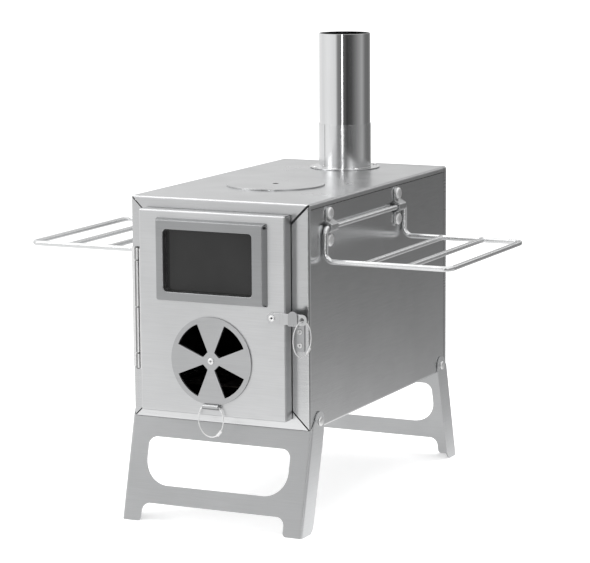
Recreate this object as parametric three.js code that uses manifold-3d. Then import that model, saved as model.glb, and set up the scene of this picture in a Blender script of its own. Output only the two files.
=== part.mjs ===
// Tent wood stove: a folded stainless box with a glazed door, a sliding-sector air vent, a flue stub,
// a lift-off cooking lid, two fold-over side shelves and two folding legs.
// Millimetres. X across the stove, Y from the front to the back, Z up.
// The solids are drawn about the body: y = 0 is the face of the front frame, z = 0 is the underside.
import * as THREE from 'three';
import { mergeVertices } from 'three/addons/utils/BufferGeometryUtils.js';
import { RoundedBoxGeometry } from 'three/addons/geometries/RoundedBoxGeometry.js';
import Module from 'manifold-3d';

const wasm = await Module();
wasm.setup();

// ---------------------------------------------------------------- driving dimensions
const SEAT = 0.3;               // gap between pieces that rest on or run past each other
const SEAM = 0.4;               // width of the open seam where folded panels meet
const HAIR = 0.1;               // keeps two cutting faces out of one plane

// firebox
const BODY_W = 214;
const BODY_D = 384;
const BODY_H = 245;
const SHEET = 1.2;              // body sheet
const BODY_BEND = 3;            // outside radius of the folded edges
const FRAME_W = 30;             // front frame, from the outer edge to the door opening
const TOP_LIP = 6;              // the top panel's turned-down rim
const BACK_LIP = 9;             // the back panel's rim, turned forward

// cooking hole and lid
const LID_Y = 140;              // centre of the cooking hole behind the front frame
const LID_D = 110;
const LID_T = 1.5;
const LID_ROUND = 0.5;          // broken upper edge
const COOK_HOLE_D = 100;
const LID_FINGER_D = 7;         // lifting hole in the middle of the lid
const LID_SPIGOT_H = 4;

// flue
const FLUE_BACK = 56;           // pipe centre in front of the back panel
const PIPE_D = 60;
const PIPE_WALL = 1;
const PIPE_H = 158;             // top of the first pipe section above the top panel
const FLUE_HOLE_D = 54;         // smoke hole in the top panel, under the pipe's end
const COLLAR_WALL = 0.9;
const COLLAR_H = 52;
const COLLAR_FLARE = 3;         // fillet between the collar tube and its foot
const COLLAR_FOOT_D = 82;
const COLLAR_FOOT_T = 1.2;
const COLLAR_RIVET_D = 5;
const COLLAR_RIVET_H = 1.4;
const COLLAR_RIVET_SHANK = 3;
const COLLAR_RIVET_TAIL = 1;

// door
const DOOR_HINGE_SIDE = 17.5;   // from the stove's left side to the door's hinged edge
const DOOR_LATCH_SIDE = 21.5;   // from the stove's right side to the door's free edge
const DOOR_H = 221;
const DOOR_DEPTH = 15.5;        // how far the door pan stands off the front frame
const DOOR_SHEET = 1.2;
const DOOR_BEND = 2.2;
const DOOR_SLIT = 0.8;          // open corner seam between the pan's turned edges
const DOOR_SLIT_L = 12;

// window in the door
const BEZEL_W = 127;            // flat front of the window frame
const BEZEL_H = 86.5;
const BEZEL_X = -1.5;           // centre of the window frame
const BEZEL_DROP = 10;          // from the door's top edge to the frame's flat front
const BEZEL_RISE = 7;           // how far the frame stands off the door
const BEZEL_SLOPE_SIDE = 3;     // spread of the sloping sides
const BEZEL_SLOPE_END = 1.6;    // spread of the sloping top and bottom
const BEZEL_SHEET = 1;
const BEZEL_SLIT_L = 7;
const BEZEL_SLIT_BACK = 1.5;    // the corner seams start this far behind the flat front
const WINDOW_W = 106;
const WINDOW_H = 67.5;
const WINDOW_X = -3.5;
const WINDOW_DROP = 20;         // from the door's top edge to the clear opening
const WINDOW_CORNER = 4;
const GLASS_T = 3.5;
const GLASS_LAP = 7;            // glass hidden behind the door sheet on each side
const CLIP_T = 1;
const CLIP_W = 10;              // height of the strips that hold the glass
const CLIP_GRIP = 4;            // how far a strip laps the glass
const CLIP_IN = 8;              // the strips stop this short of the glass's sides

// air vent
const VENT_X = -2.5;
const VENT_UP = 60;             // vent centre above the door's bottom edge
const VENT_D = 96;
const VENT_T = 1.5;
const VENT_BLADES = 4;
const VENT_REACH = 0.888;       // outer radius of the sectors, as a share of the disc
const VENT_HUB = 9.6;           // from the centre to the sectors' straight inner edge
const TAB_W = 19;
const TAB_DROP = 1.7;           // from the disc's edge down to the middle of the tab's tube
const TAB_TUBE_D = 5.6;         // rolled end of the disc's finger tab
const TAB_BORE_D = 3.4;

// wire-rope pull rings
const ROPE_D = 1.4;
const RING_W = 30;
const RING_H = 38;
const RING_STEPS = 24;          // straight runs round a whole ring
const RING_PARTING = 3.5;       // half the gap between the rope's ends, degrees round the ring
const FERRULE_D = 3.4;
const FERRULE_L = 8;
const FERRULE_AT = 137;         // from the top of the ring, degrees

// tubular rivets on the door and frame
const EYELET_D = 7;
const EYELET_BORE = 2.6;
const EYELET_H = 1.3;
const EYELET_SHANK = 4;
const EYELET_ROLL = [[0, 0.6], [0.25, 1], [0.75, 1], [1, 0.4]];   // rim section: shares of width and height
const EYELET_TAIL = 0.85;       // width of the rolled tail, as a share of the head
const EYELET_TAIL_H = 1;

// latch
const LATCH_UP = 112;           // arm's centre line above the door's bottom edge
const LATCH_PIVOT_IN = 15;      // from the door's edge to the pivot
const LATCH_REACH = 35;         // from the pivot to the ring hole
const LATCH_W = 12;
const LATCH_T = 1.5;
const LATCH_HOLE_D = 5;
const LATCH_RING_TURN = 76;     // the ring hangs across the arm at this angle, degrees
const KEEPER_IN = 11.5;         // from the stove's side to the keeper's middle
const KEEPER_W = 11;
const KEEPER_SHEET = 1.2;
const KEEPER_FOOT = 28;         // height of the riveted foot
const KEEPER_NECK = 3;          // from the foot up to the arm
const KEEPER_LIP = 16;          // tongue height in front of the arm
const KEEPER_RIVET_GAP = 14.5;
const KEEPER_RIVET_D = 6;
const KEEPER_SHANK = 3;
const KEEPER_BORE = 1.8;

// hinge
const HINGE_OUT = 7.5;          // from the door's edge to the pin
const HINGE_Y = -7;             // pin in front of the front frame
const HINGE_BARREL_D = 4.8;
const HINGE_BORE_D = 3;
const HINGE_PIN_D = 2.4;
const HINGE_SHEET = 1;
const HINGE_KNUCKLES = [16.4, 51, 51.4, 13.7];   // from the bottom, door knuckle first
const HINGE_HEAD_D = 4.2;
const HINGE_HEAD_H = 1.3;
const HINGE_LEAF_EDGE = 0.6;    // the body leaf stops this short of the stove's side

// side shelves
const WIRE_D = 6;
const SHELF_OUT = 145.5;        // outer bar, out from the side panel
const SHELF_FRONT = 33;         // front arm, behind the front frame
const SHELF_LENGTH = 215;       // between the two arms
const SHELF_DROP = 35.5;        // the arms hang this far below the pivot rod
const SHELF_ROD_DROP = 29.5;    // pivot rod below the top of the stove
const SHELF_BEND = 9;           // centre-line radius of the wire's bends
const SHELF_ROD_BEND = 6;       // the same where an arm meets the rod
const SHELF_BARS = [49, 98];    // cross bars, out from the side panel

// shelf brackets
const BRACKET_INSET = 15;       // bracket centre inside each arm
const BRACKET_W = 18;
const BRACKET_H = 45;
const BRACKET_SHEET = 1.2;
const BRACKET_MOUTH = 14.2;     // height of the raised loop at the wall
const BRACKET_CROWN = [[1.7, 3.9], [0.4, 2.1], [0, 0]];   // its rounding: in from crest, up from rod
const BRACKET_PITCH = 28.7;     // between the two rivets
const DOME_D = 13.6;
const DOME_H = 3.2;
const DOME_RIM = 0.25;          // upright rim under a dome, as a share of its height
const RIVET_SHANK = 5;
const RIVET_TAIL_D = 8;
const RIVET_TAIL_H = 1.5;

// legs
const LEG_HEIGHT = 110;         // underside of the stove above the floor
const LEG_SPLAY = 14.5;         // degrees
const LEG_SHEET = 1.5;
const LEG_GAP = 0.4;            // between a leg's cheek and the side panel
const LEG_CHEEK_TOP = 30;       // cheek width under the ear
const LEG_CHEEK_FOOT = 27;
const LEG_CHEEK_RISE = 1.5;     // the cheek's front corner above the plate's top edge
const LEG_SHOULDER = 4;         // widest point of the cheek above the plate's top edge
const LEG_SHOULDER_IN = 3.5;    // how far the cheek narrows from there to the ear
const LEG_TOE = 13;             // rounded rear corner of the cheek at the floor
const LEG_PIVOT_IN = 20;        // pivot inside the front or back of the stove
const LEG_PIVOT_UP = 8.5;
const LEG_EAR_R = 11;
const LEG_RIVET_D = 10;
const LEG_RIVET_H = 2.4;
const LEG_WINDOW_TOP = 20;      // distances along the plate from its top edge
const LEG_WINDOW_H = 52.5;
const LEG_WINDOW_MARGIN = 23;   // from the leg's side to the window
const LEG_WINDOW_R_TOP = 10;
const LEG_WINDOW_R_LOW = 28;
const LEG_ARCH_TOP = 93;
const LEG_FOOT_W = 23;
const LEG_ARCH_R = 9;
const LEG_FOOT_R = 5;

// fire grate
const GRATE_W = 146;
const GRATE_L = 352;
const GRATE_UP = 38;            // grate surface above the floor of the firebox
const GRATE_SHEET = 1.5;
const GRATE_FRONT = 14;         // behind the front frame
const GRATE_SLOT_W = 9;
const GRATE_SLOT_L = 50;
const GRATE_ROWS = 5;
const GRATE_COLUMNS = 6;
const GRATE_SPREAD = 0.94;      // the columns share this much of the width

// ---------------------------------------------------------------- places worked out from them
const HALF_W = BODY_W / 2;
const FLUE_Y = BODY_D - FLUE_BACK;
const DOOR_LEFT = -HALF_W + DOOR_HINGE_SIDE;
const DOOR_RIGHT = HALF_W - DOOR_LATCH_SIDE;
const DOOR_LOW = (BODY_H - DOOR_H) / 2;
const DOOR_TOP = DOOR_LOW + DOOR_H;
const DOOR_FACE = -SEAM - DOOR_DEPTH;
const DOOR_INSIDE = DOOR_FACE + DOOR_SHEET;
const VENT_Z = DOOR_LOW + VENT_UP;
const VENT_BACK = DOOR_FACE - SEAT;
const VENT_FACE = VENT_BACK - VENT_T;
const LATCH_Z = DOOR_LOW + LATCH_UP;
const LATCH_BACK = DOOR_FACE - SEAT;
const LATCH_FACE = LATCH_BACK - LATCH_T;
const LATCH_PIVOT_X = DOOR_RIGHT - LATCH_PIVOT_IN;
const LATCH_HOLE_X = LATCH_PIVOT_X + LATCH_REACH;
const KEEPER_X = HALF_W - KEEPER_IN;
const HINGE_X = DOOR_LEFT - HINGE_OUT;
const ROD_X = HALF_W + SEAM + WIRE_D / 2;
const ROD_Z = BODY_H - SHELF_ROD_DROP;
const SHELF_BACK = SHELF_FRONT + SHELF_LENGTH;
const GRATE_Z = SHEET + GRATE_UP;
const PIPE_R = PIPE_D / 2;
const COLLAR_BORE = PIPE_R + SEAT;
const LEG_OUTER = HALF_W + LEG_GAP + LEG_SHEET;

// ---------------------------------------------------------------- solids from three.js geometry
const BIG = 1000;               // reaches past the whole stove
const LARGE = 36;               // sides of each round: large, pipe, barrel, small and thin
const PIPE = 28;
const BARREL = 16;
const SMALL = 12;
const THIN = 8;

// A closed geometry as a solid that can be joined and cut.
function solid(geometry) {
  const bare = geometry.clone();
  bare.deleteAttribute('normal');
  if (bare.getAttribute('uv')) bare.deleteAttribute('uv');
  const merged = mergeVertices(bare, 1e-4);
  const vertProperties = new Float32Array(merged.getAttribute('position').array);
  const triVerts = new Uint32Array(merged.getIndex().array);
  if (signedVolume(vertProperties, triVerts) < 0) {
    for (let i = 0; i < triVerts.length; i += 3) {
      [triVerts[i], triVerts[i + 1]] = [triVerts[i + 1], triVerts[i]];
    }
  }
  return new wasm.Manifold(new wasm.Mesh({ numProp: 3, vertProperties, triVerts }));
}

function signedVolume(points, triangles) {
  const [a, b, c] = [new THREE.Vector3(), new THREE.Vector3(), new THREE.Vector3()];
  let six = 0;
  for (let i = 0; i < triangles.length; i += 3) {
    a.fromArray(points, 3 * triangles[i]);
    b.fromArray(points, 3 * triangles[i + 1]);
    c.fromArray(points, 3 * triangles[i + 2]);
    six += a.dot(b.cross(c));
  }
  return six;
}

function join(...parts) {
  return parts.reduce((whole, part) => whole.add(part));
}

function cut(whole, ...tools) {
  return tools.reduce((left, tool) => left.subtract(tool), whole);
}

function box(x0, x1, y0, y1, z0, z1) {
  const g = new THREE.BoxGeometry(x1 - x0, y1 - y0, z1 - z0);
  return solid(g.translate((x0 + x1) / 2, (y0 + y1) / 2, (z0 + z1) / 2));
}

function roundedBox(x0, x1, y0, y1, z0, z1, radius) {
  const g = new RoundedBoxGeometry(x1 - x0, y1 - y0, z1 - z0, 2, radius);
  return solid(g.translate((x0 + x1) / 2, (y0 + y1) / 2, (z0 + z1) / 2));
}

// A cylinder about an axis 'x', 'y' or 'z' between two stations on it.
function bar(axis, from, to, [u, v], radius, sides = SMALL) {
  const g = new THREE.CylinderGeometry(radius, radius, to - from, sides);
  const middle = (from + to) / 2;
  if (axis === 'x') return solid(g.rotateZ(Math.PI / 2).translate(middle, u, v));
  if (axis === 'y') return solid(g.translate(u, middle, v));
  return solid(g.rotateX(Math.PI / 2).translate(u, v, middle));
}

function extrude(shape, depth, curveSegments = 2) {
  return new THREE.ExtrudeGeometry(shape, { depth, bevelEnabled: false, curveSegments });
}

// A shape drawn in (x, z), (y, z) or (x, y), as a plate between two stations on the third axis.
function plateFront(shape, y0, y1, curveSegments) {
  return solid(extrude(shape, y1 - y0, curveSegments).rotateX(Math.PI / 2).translate(0, y1, 0));
}

function plateSide(shape, x0, x1, curveSegments) {
  const turn = new THREE.Matrix4().makeBasis(
    new THREE.Vector3(0, 1, 0), new THREE.Vector3(0, 0, 1), new THREE.Vector3(1, 0, 0));
  return solid(extrude(shape, x1 - x0, curveSegments).applyMatrix4(turn).translate(x0, 0, 0));
}

function plateFlat(shape, z0, z1, curveSegments) {
  return solid(extrude(shape, z1 - z0, curveSegments).translate(0, 0, z0));
}

function polygon(points) {
  return new THREE.Shape(points.map(([u, v]) => new THREE.Vector2(u, v)));
}

// A polygon with its own rounding radius at each corner: points are [u, v, radius].
function roundedPolygon(points) {
  const shape = new THREE.Shape();
  points.forEach(([u, v, radius = 0], i) => {
    const here = new THREE.Vector2(u, v);
    const before = new THREE.Vector2(...points.at(i - 1).slice(0, 2));
    const after = new THREE.Vector2(...points[(i + 1) % points.length].slice(0, 2));
    const back = before.sub(here).normalize();
    const on = after.sub(here).normalize();
    const half = Math.acos(THREE.MathUtils.clamp(back.dot(on), -1, 1)) / 2;
    const reach = radius / Math.tan(half);
    const start = here.clone().addScaledVector(back, reach);
    const end = here.clone().addScaledVector(on, reach);
    if (i === 0) shape.moveTo(start.x, start.y);
    else shape.lineTo(start.x, start.y);
    if (radius > 0) {
      const centre = here.clone().addScaledVector(back.clone().add(on).normalize(), radius / Math.sin(half));
      const from = Math.atan2(start.y - centre.y, start.x - centre.x);
      const to = Math.atan2(end.y - centre.y, end.x - centre.x);
      shape.absarc(centre.x, centre.y, radius, from, to, back.cross(on) > 0);
    }
  });
  shape.closePath();
  return shape;
}

function rectangle(u0, u1, v0, v1, radius = 0) {
  return roundedPolygon([[u0, v0, radius], [u1, v0, radius], [u1, v1, radius], [u0, v1, radius]]);
}

function circle(u, v, radius) {
  return new THREE.Shape().absarc(u, v, radius, 0, 2 * Math.PI, false);
}

// The edge view of a bent strip: its centre line given a thickness.
function bentStrip(line, thickness) {
  const points = line.map(([u, v]) => new THREE.Vector2(u, v));
  const normals = points.slice(1).map((p, i) => {
    const d = p.clone().sub(points[i]).normalize();
    return new THREE.Vector2(-d.y, d.x);
  });
  const side = (sign) => points.map((p, i) => {
    const a = normals[Math.max(i - 1, 0)];
    const b = normals[Math.min(i, normals.length - 1)];
    const mitre = a.clone().add(b).normalize();
    return p.clone().addScaledVector(mitre, sign * thickness / 2 / mitre.dot(a));
  });
  return new THREE.Shape([...side(1), ...side(-1).reverse()]);
}

// A round solid from a profile of [radius, height] that starts and ends on the axis, or closes.
function turned(profile, sides = SMALL) {
  return new THREE.LatheGeometry(profile.map(([r, h]) => new THREE.Vector2(r, h)), sides);
}

// Points along straight runs between rounded corners: bends holds the radius at each inner corner.
function bentLine(corners, bends, arcSteps = 4) {
  const stations = [corners[0]];
  bends.forEach((bend, i) => {
    const corner = corners[i + 1];
    const back = corners[i].clone().sub(corner).normalize();
    const on = corners[i + 2].clone().sub(corner).normalize();
    const half = back.angleTo(on) / 2;
    const towards = back.clone().add(on).normalize();
    const centre = corner.clone().addScaledVector(towards, bend / Math.sin(half));
    const first = corner.clone().addScaledVector(back, bend / Math.tan(half)).sub(centre);
    const axis = back.clone().cross(on).normalize();
    for (let k = 0; k <= arcSteps; k += 1) {
      const angle = -(Math.PI - 2 * half) * k / arcSteps;
      stations.push(first.clone().applyAxisAngle(axis, angle).add(centre));
    }
  });
  return [...stations, corners.at(-1)];
}

// The centre line of a wire, straight from each station to the next.
class WireRoute extends THREE.Curve {
  constructor(stations) {
    super();
    this.stations = stations;
  }

  getPoint(t, target = new THREE.Vector3()) {
    const place = t * (this.stations.length - 1);
    const i = Math.min(Math.floor(place), this.stations.length - 2);
    return target.lerpVectors(this.stations[i], this.stations[i + 1], place - i);
  }

  getPointAt(u, target) {
    return this.getPoint(u, target);
  }

  getSpacedPoints(divisions) {
    return this.getPoints(divisions);
  }

  getTangentAt(u, target = new THREE.Vector3()) {
    const i = Math.round(u * (this.stations.length - 1));
    const last = this.stations.length - 1;
    const ahead = this.stations[Math.min(i + 1, last)].clone()
      .sub(this.stations[Math.min(i, last - 1)]);
    const behind = this.stations[Math.max(i, 1)].clone().sub(this.stations[Math.max(i - 1, 0)]);
    return target.copy(ahead.normalize().add(behind.normalize())).normalize();
  }
}

function wire(stations, diameter, sides = 10) {
  const route = new WireRoute(stations);
  const section = [];
  for (let k = 0; k < sides; k += 1) {
    const angle = 2 * Math.PI * k / sides;
    section.push(new THREE.Vector2(Math.cos(angle), Math.sin(angle)).multiplyScalar(diameter / 2));
  }
  return solid(new THREE.ExtrudeGeometry(new THREE.Shape(section), {
    steps: stations.length - 1, bevelEnabled: false, extrudePath: route,
  }));
}

// ---------------------------------------------------------------- finishes
const finish = (color, roughness, metalness = 1) =>
  new THREE.MeshStandardMaterial({ color, roughness, metalness });
const BRUSHED = finish(0xb9bbbc, 0.36);
const SIDE_SHEET = finish(0x96989a, 0.28);
const DOOR_STEEL = finish(0xb4b6b7, 0.38);
const BEZEL_STEEL = finish(0x9b9da0, 0.34);
const LEG_STEEL = finish(0xa9abad, 0.42);
const POLISHED = finish(0xc9cbcc, 0.12);
const WIRE_STEEL = finish(0xc2c4c6, 0.18);
const RIVET_STEEL = finish(0xd2d4d5, 0.22);
const SOOTED = finish(0x4a4846, 0.7, 0.6);
const GLASS = new THREE.MeshStandardMaterial({
  color: 0x2c2d2f, roughness: 0.08, metalness: 0, transparent: true, opacity: 0.75,
});

const stove = new THREE.Group();
stove.position.set(0, -BODY_D / 2, LEG_HEIGHT);

function add(name, part, material) {
  const { vertProperties, triVerts } = part.getMesh();
  const geometry = new THREE.BufferGeometry();
  geometry.setAttribute('position', new THREE.BufferAttribute(new Float32Array(vertProperties), 3));
  geometry.setIndex(new THREE.BufferAttribute(new Uint32Array(triVerts), 1));
  geometry.computeVertexNormals();
  const mesh = new THREE.Mesh(geometry, material);
  mesh.name = name;
  stove.add(mesh);
}

// ---------------------------------------------------------------- firebox panels
// One rounded sheet box, parted along the seams: the front frame is mitred at 45 degrees, the top
// turns down over the sides, and the sides turn in under the bottom.
function bodySheet() {
  const outside = roundedBox(-HALF_W, HALF_W, 0, BODY_D, 0, BODY_H, BODY_BEND);
  const inside = roundedBox(-HALF_W + SHEET, HALF_W - SHEET, SHEET, BODY_D - SHEET,
    SHEET, BODY_H - SHEET, BODY_BEND - SHEET);
  const doorway = box(-HALF_W + FRAME_W, HALF_W - FRAME_W, -1, SHEET + 1, FRAME_W, BODY_H - FRAME_W);
  return cut(outside, inside, doorway);
}

const FRAME_ZONE = BODY_BEND + 0.2;          // depth of the folded front edge
const BACK_SEAM = BODY_D - BACK_LIP;
const MITRE = SEAM / 2 * Math.SQRT2;

function panelZone(side) {
  const far = BODY_H;
  const wide = HALF_W + 1;
  const deep = FRAME_W + 2;
  const mitres = {
    top: [[-wide + MITRE, far + 1], [wide - MITRE, far + 1],
      [HALF_W - deep - MITRE, far - deep], [-HALF_W + deep + MITRE, far - deep]],
    bottom: [[-wide + MITRE, -1], [wide - MITRE, -1],
      [HALF_W - deep - MITRE, deep], [-HALF_W + deep + MITRE, deep]],
    right: [[wide, MITRE - 1], [wide, far + 1 - MITRE], [HALF_W - deep, far - deep - MITRE],
      [HALF_W - deep, deep + MITRE]],
  };
  mitres.left = mitres.right.map(([u, v]) => [-u, v]);
  const slab = box(-BIG, BIG, -BIG, FRAME_ZONE, -BIG, BIG);
  const front = plateFront(polygon(mitres[side]), -1, 2 * FRAME_ZONE).intersect(slab);
  const backEnd = BACK_SEAM - SEAM;
  const sideTop = far - TOP_LIP - SEAM;
  const turnIn = HALF_W - BODY_BEND;
  const behind = {
    top: () => box(-wide, wide, 0, backEnd, far - TOP_LIP, far + 1),
    bottom: () => box(-turnIn + SEAM, turnIn - SEAM, 0, backEnd, -1, SHEET + 1),
    right: () => box(turnIn, wide, 0, backEnd, -1, sideTop),
    left: () => box(-wide, -turnIn, 0, backEnd, -1, sideTop),
  }[side]().subtract(slab);
  return join(front, behind);
}

// Rivet holes through a side panel: two shelf brackets and the two leg pivots.
function sideHoles() {
  const radius = RIVET_SHANK / 2 + SEAT;
  const holes = bracketStations().flatMap((y) => [-1, 1].map((sign) =>
    bar('x', -BIG, BIG, [y, ROD_Z + sign * BRACKET_PITCH / 2], radius)));
  const pivots = [LEG_PIVOT_IN, BODY_D - LEG_PIVOT_IN].map((y) =>
    bar('x', -BIG, BIG, [y, LEG_PIVOT_UP], radius));
  return [...holes, ...pivots];
}

function bracketStations() {
  return [SHELF_FRONT + BRACKET_INSET, SHELF_BACK - BRACKET_INSET];
}

const collarRivets = [0, 1, 2, 3].map((k) => {
  const angle = Math.PI / 4 + k * Math.PI / 2;
  const radius = (COLLAR_FOOT_D / 2 + COLLAR_BORE + COLLAR_WALL + COLLAR_FLARE) / 2;
  return [radius * Math.cos(angle), FLUE_Y + radius * Math.sin(angle)];
});

function topPanel() {
  const under = BODY_H - BODY_BEND;
  const cook = bar('z', under, BODY_H + 1, [0, LID_Y], COOK_HOLE_D / 2, LARGE);
  const smoke = bar('z', under, BODY_H + 1, [0, FLUE_Y], FLUE_HOLE_D / 2, PIPE);
  const rivets = collarRivets.map(([x, y]) =>
    bar('z', under, BODY_H + 1, [x, y], COLLAR_RIVET_SHANK / 2 + SEAT));
  return cut(bodySheet().intersect(panelZone('top')), cook, smoke, ...rivets);
}

const keeperRivetZ = [-1, 1].map((sign) => keeperFootMiddle() + sign * KEEPER_RIVET_GAP / 2);

function keeperFootMiddle() {
  return LATCH_Z - LATCH_W / 2 - KEEPER_NECK - KEEPER_FOOT / 2;
}

function sidePanel(side) {
  const holes = keeperRivetZ.map((z) =>
    bar('y', -1, SHEET + 1, [KEEPER_X, z], KEEPER_SHANK / 2 + SEAT));
  const panel = cut(bodySheet().intersect(panelZone(side)), ...sideHoles());
  return side === 'right' ? cut(panel, ...holes) : panel;
}

add('top_panel', topPanel(), BRUSHED);
add('left_side_panel', sidePanel('left'), SIDE_SHEET);
add('right_side_panel', sidePanel('right'), SIDE_SHEET);
add('bottom_panel', bodySheet().intersect(panelZone('bottom')), BRUSHED);
add('back_panel',
  bodySheet().intersect(box(-BIG, BIG, BACK_SEAM, BODY_D + 1, -1, BODY_H + 1)),
  BRUSHED);

// ---------------------------------------------------------------- flue and cooking lid
const collarLow = BODY_H + SEAT / 3;
const collarProfile = (() => {
  const tube = COLLAR_BORE + COLLAR_WALL;
  const flare = [0, 1, 2, 3].map((k) => {
    const angle = k * Math.PI / 6;
    return [tube + COLLAR_FLARE * (1 - Math.cos(angle)),
      COLLAR_FOOT_T + COLLAR_FLARE * (1 - Math.sin(angle))];
  });
  const points = [[COLLAR_BORE, 0], [COLLAR_BORE, COLLAR_H], [tube, COLLAR_H], ...flare,
    [COLLAR_FOOT_D / 2, COLLAR_FOOT_T], [COLLAR_FOOT_D / 2, 0], [COLLAR_BORE, 0]];
  return points;
})();
const collar = solid(turned(collarProfile, PIPE).rotateX(Math.PI / 2).translate(0, FLUE_Y, collarLow));
add('flue_collar', cut(collar, ...collarRivets.map(([x, y]) =>
  bar('z', BODY_H, BODY_H + COLLAR_FOOT_T + 1, [x, y], COLLAR_RIVET_SHANK / 2 + SEAT))), BRUSHED);

const collarRivetSeat = collarLow + COLLAR_FOOT_T + SEAT / 3;
collarRivets.forEach(([x, y], i) => {
  const g = rivet({
    head: COLLAR_RIVET_D, headH: COLLAR_RIVET_H, shank: COLLAR_RIVET_SHANK,
    grip: COLLAR_FOOT_T + SHEET + SEAT, tail: COLLAR_RIVET_D, tailH: COLLAR_RIVET_TAIL,
  });
  add(`collar_rivet_${i + 1}`, solid(g.rotateX(Math.PI / 2).translate(x, y, collarRivetSeat)), RIVET_STEEL);
});

const pipeBore = PIPE_R - PIPE_WALL;
const pipeTop = PIPE_H - SEAT;
const pipeProfile = [[pipeBore, 0], [pipeBore, pipeTop], [PIPE_R, pipeTop], [PIPE_R, 0], [pipeBore, 0]];
const pipe = solid(turned(pipeProfile, PIPE).rotateX(Math.PI / 2).translate(0, FLUE_Y, BODY_H + SEAT));
add('flue_pipe', pipe, POLISHED);

const lidLow = BODY_H + SEAT / 3;
const spigot = COOK_HOLE_D / 2 - 2 * SEAT;
const lidProfile = [[LID_FINGER_D / 2, 0], [LID_FINGER_D / 2, LID_T], [LID_D / 2 - LID_ROUND, LID_T],
  [LID_D / 2, LID_T - LID_ROUND], [LID_D / 2, 0], [spigot, 0], [spigot, -LID_SPIGOT_H],
  [spigot - SHEET, -LID_SPIGOT_H], [spigot - SHEET, 0], [LID_FINGER_D / 2, 0]];
const lid = solid(turned(lidProfile, LARGE).rotateX(Math.PI / 2).translate(0, LID_Y, lidLow));
add('cooktop_lid', lid, BRUSHED);

// ---------------------------------------------------------------- fire grate
function fireGrate() {
  const half = GRATE_W / 2;
  const low = SHEET + SEAT;
  const line = [[-half, low], [-half, GRATE_Z], [half, GRATE_Z], [half, low]];
  const tray = plateFront(bentStrip(line, GRATE_SHEET), GRATE_FRONT, GRATE_FRONT + GRATE_L);
  const slots = [];
  for (let row = 0; row < GRATE_ROWS; row += 1) {
    const y = GRATE_FRONT + GRATE_L * (row + 0.5) / GRATE_ROWS;
    for (let column = 0; column < GRATE_COLUMNS; column += 1) {
      const x = GRATE_W * GRATE_SPREAD * ((column + 0.5) / GRATE_COLUMNS - 0.5);
      const slot = rectangle(x - GRATE_SLOT_W / 2, x + GRATE_SLOT_W / 2, y - GRATE_SLOT_L / 2,
        y + GRATE_SLOT_L / 2);
      slots.push(plateFlat(slot, GRATE_Z - GRATE_SHEET, GRATE_Z + GRATE_SHEET));
    }
  }
  return cut(tray, ...slots);
}
add('fire_grate', fireGrate(), SOOTED);

// ---------------------------------------------------------------- door
// Four 45 degree sectors of the vent, open through the disc and the door behind it.
function ventSectors(y0, y1) {
  const reach = VENT_D / 2 * VENT_REACH;
  const half = Math.PI / VENT_BLADES / 2;
  return Array.from({ length: VENT_BLADES }, (_, k) => {
    const middle = 2 * Math.PI * (k + 0.5) / VENT_BLADES;
    const at = (radius, angle) => [VENT_X + radius * Math.cos(angle), VENT_Z + radius * Math.sin(angle)];
    const inner = VENT_HUB / Math.cos(half);
    const shape = new THREE.Shape();
    shape.moveTo(...at(inner, middle - half));
    shape.lineTo(...at(reach, middle - half));
    shape.absarc(VENT_X, VENT_Z, reach, middle - half, middle + half, false);
    shape.lineTo(...at(inner, middle + half));
    shape.closePath();
    return plateFront(shape, y0, y1);
  });
}

function windowHole(y0, y1, grow = 0) {
  const shape = rectangle(WINDOW_X - WINDOW_W / 2 - grow, WINDOW_X + WINDOW_W / 2 + grow,
    DOOR_TOP - WINDOW_DROP - WINDOW_H - grow, DOOR_TOP - WINDOW_DROP + grow, WINDOW_CORNER + grow);
  return plateFront(shape, y0, y1);
}

// A thin slit on the 45 degree line through a corner, pointing away from the middle.
function cornerSlit(x, z, dirX, dirZ, length, y0, y1) {
  const g = new THREE.BoxGeometry(length, y1 - y0, DOOR_SLIT);
  const angle = -Math.atan2(dirZ, dirX);
  return solid(g.rotateY(angle).translate(x, (y0 + y1) / 2, z));
}

function corners(x0, x1, z0, z1) {
  return [[x0, z0, -1, -1], [x1, z0, 1, -1], [x1, z1, 1, 1], [x0, z1, -1, 1]];
}

function doorPanel() {
  const outside = roundedBox(DOOR_LEFT, DOOR_RIGHT, DOOR_FACE, DOOR_DEPTH, DOOR_LOW, DOOR_TOP, DOOR_BEND);
  const inside = roundedBox(DOOR_LEFT + DOOR_SHEET, DOOR_RIGHT - DOOR_SHEET, DOOR_INSIDE, 2 * DOOR_DEPTH,
    DOOR_LOW + DOOR_SHEET, DOOR_TOP - DOOR_SHEET, DOOR_BEND - DOOR_SHEET);
  const behind = box(-BIG, BIG, -SEAM, BIG, -BIG, BIG);
  const slits = corners(DOOR_LEFT, DOOR_RIGHT, DOOR_LOW, DOOR_TOP).map(([x, z, dirX, dirZ]) =>
    cornerSlit(x, z, dirX, dirZ, DOOR_SLIT_L, DOOR_FACE + DOOR_BEND + SEAM, 1));
  const holes = [
    bar('y', DOOR_FACE - 1, DOOR_INSIDE + 1, [VENT_X, VENT_Z], EYELET_SHANK / 2 + SEAT),
    bar('y', DOOR_FACE - 1, DOOR_INSIDE + 1, [LATCH_PIVOT_X, LATCH_Z], EYELET_SHANK / 2 + SEAT),
  ];
  return cut(outside, inside, behind, windowHole(DOOR_FACE - 1, DOOR_INSIDE + 1), ...slits, ...holes,
    ...ventSectors(DOOR_FACE - 1, DOOR_INSIDE + 1));
}
add('door_panel', doorPanel(), DOOR_STEEL);

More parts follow.
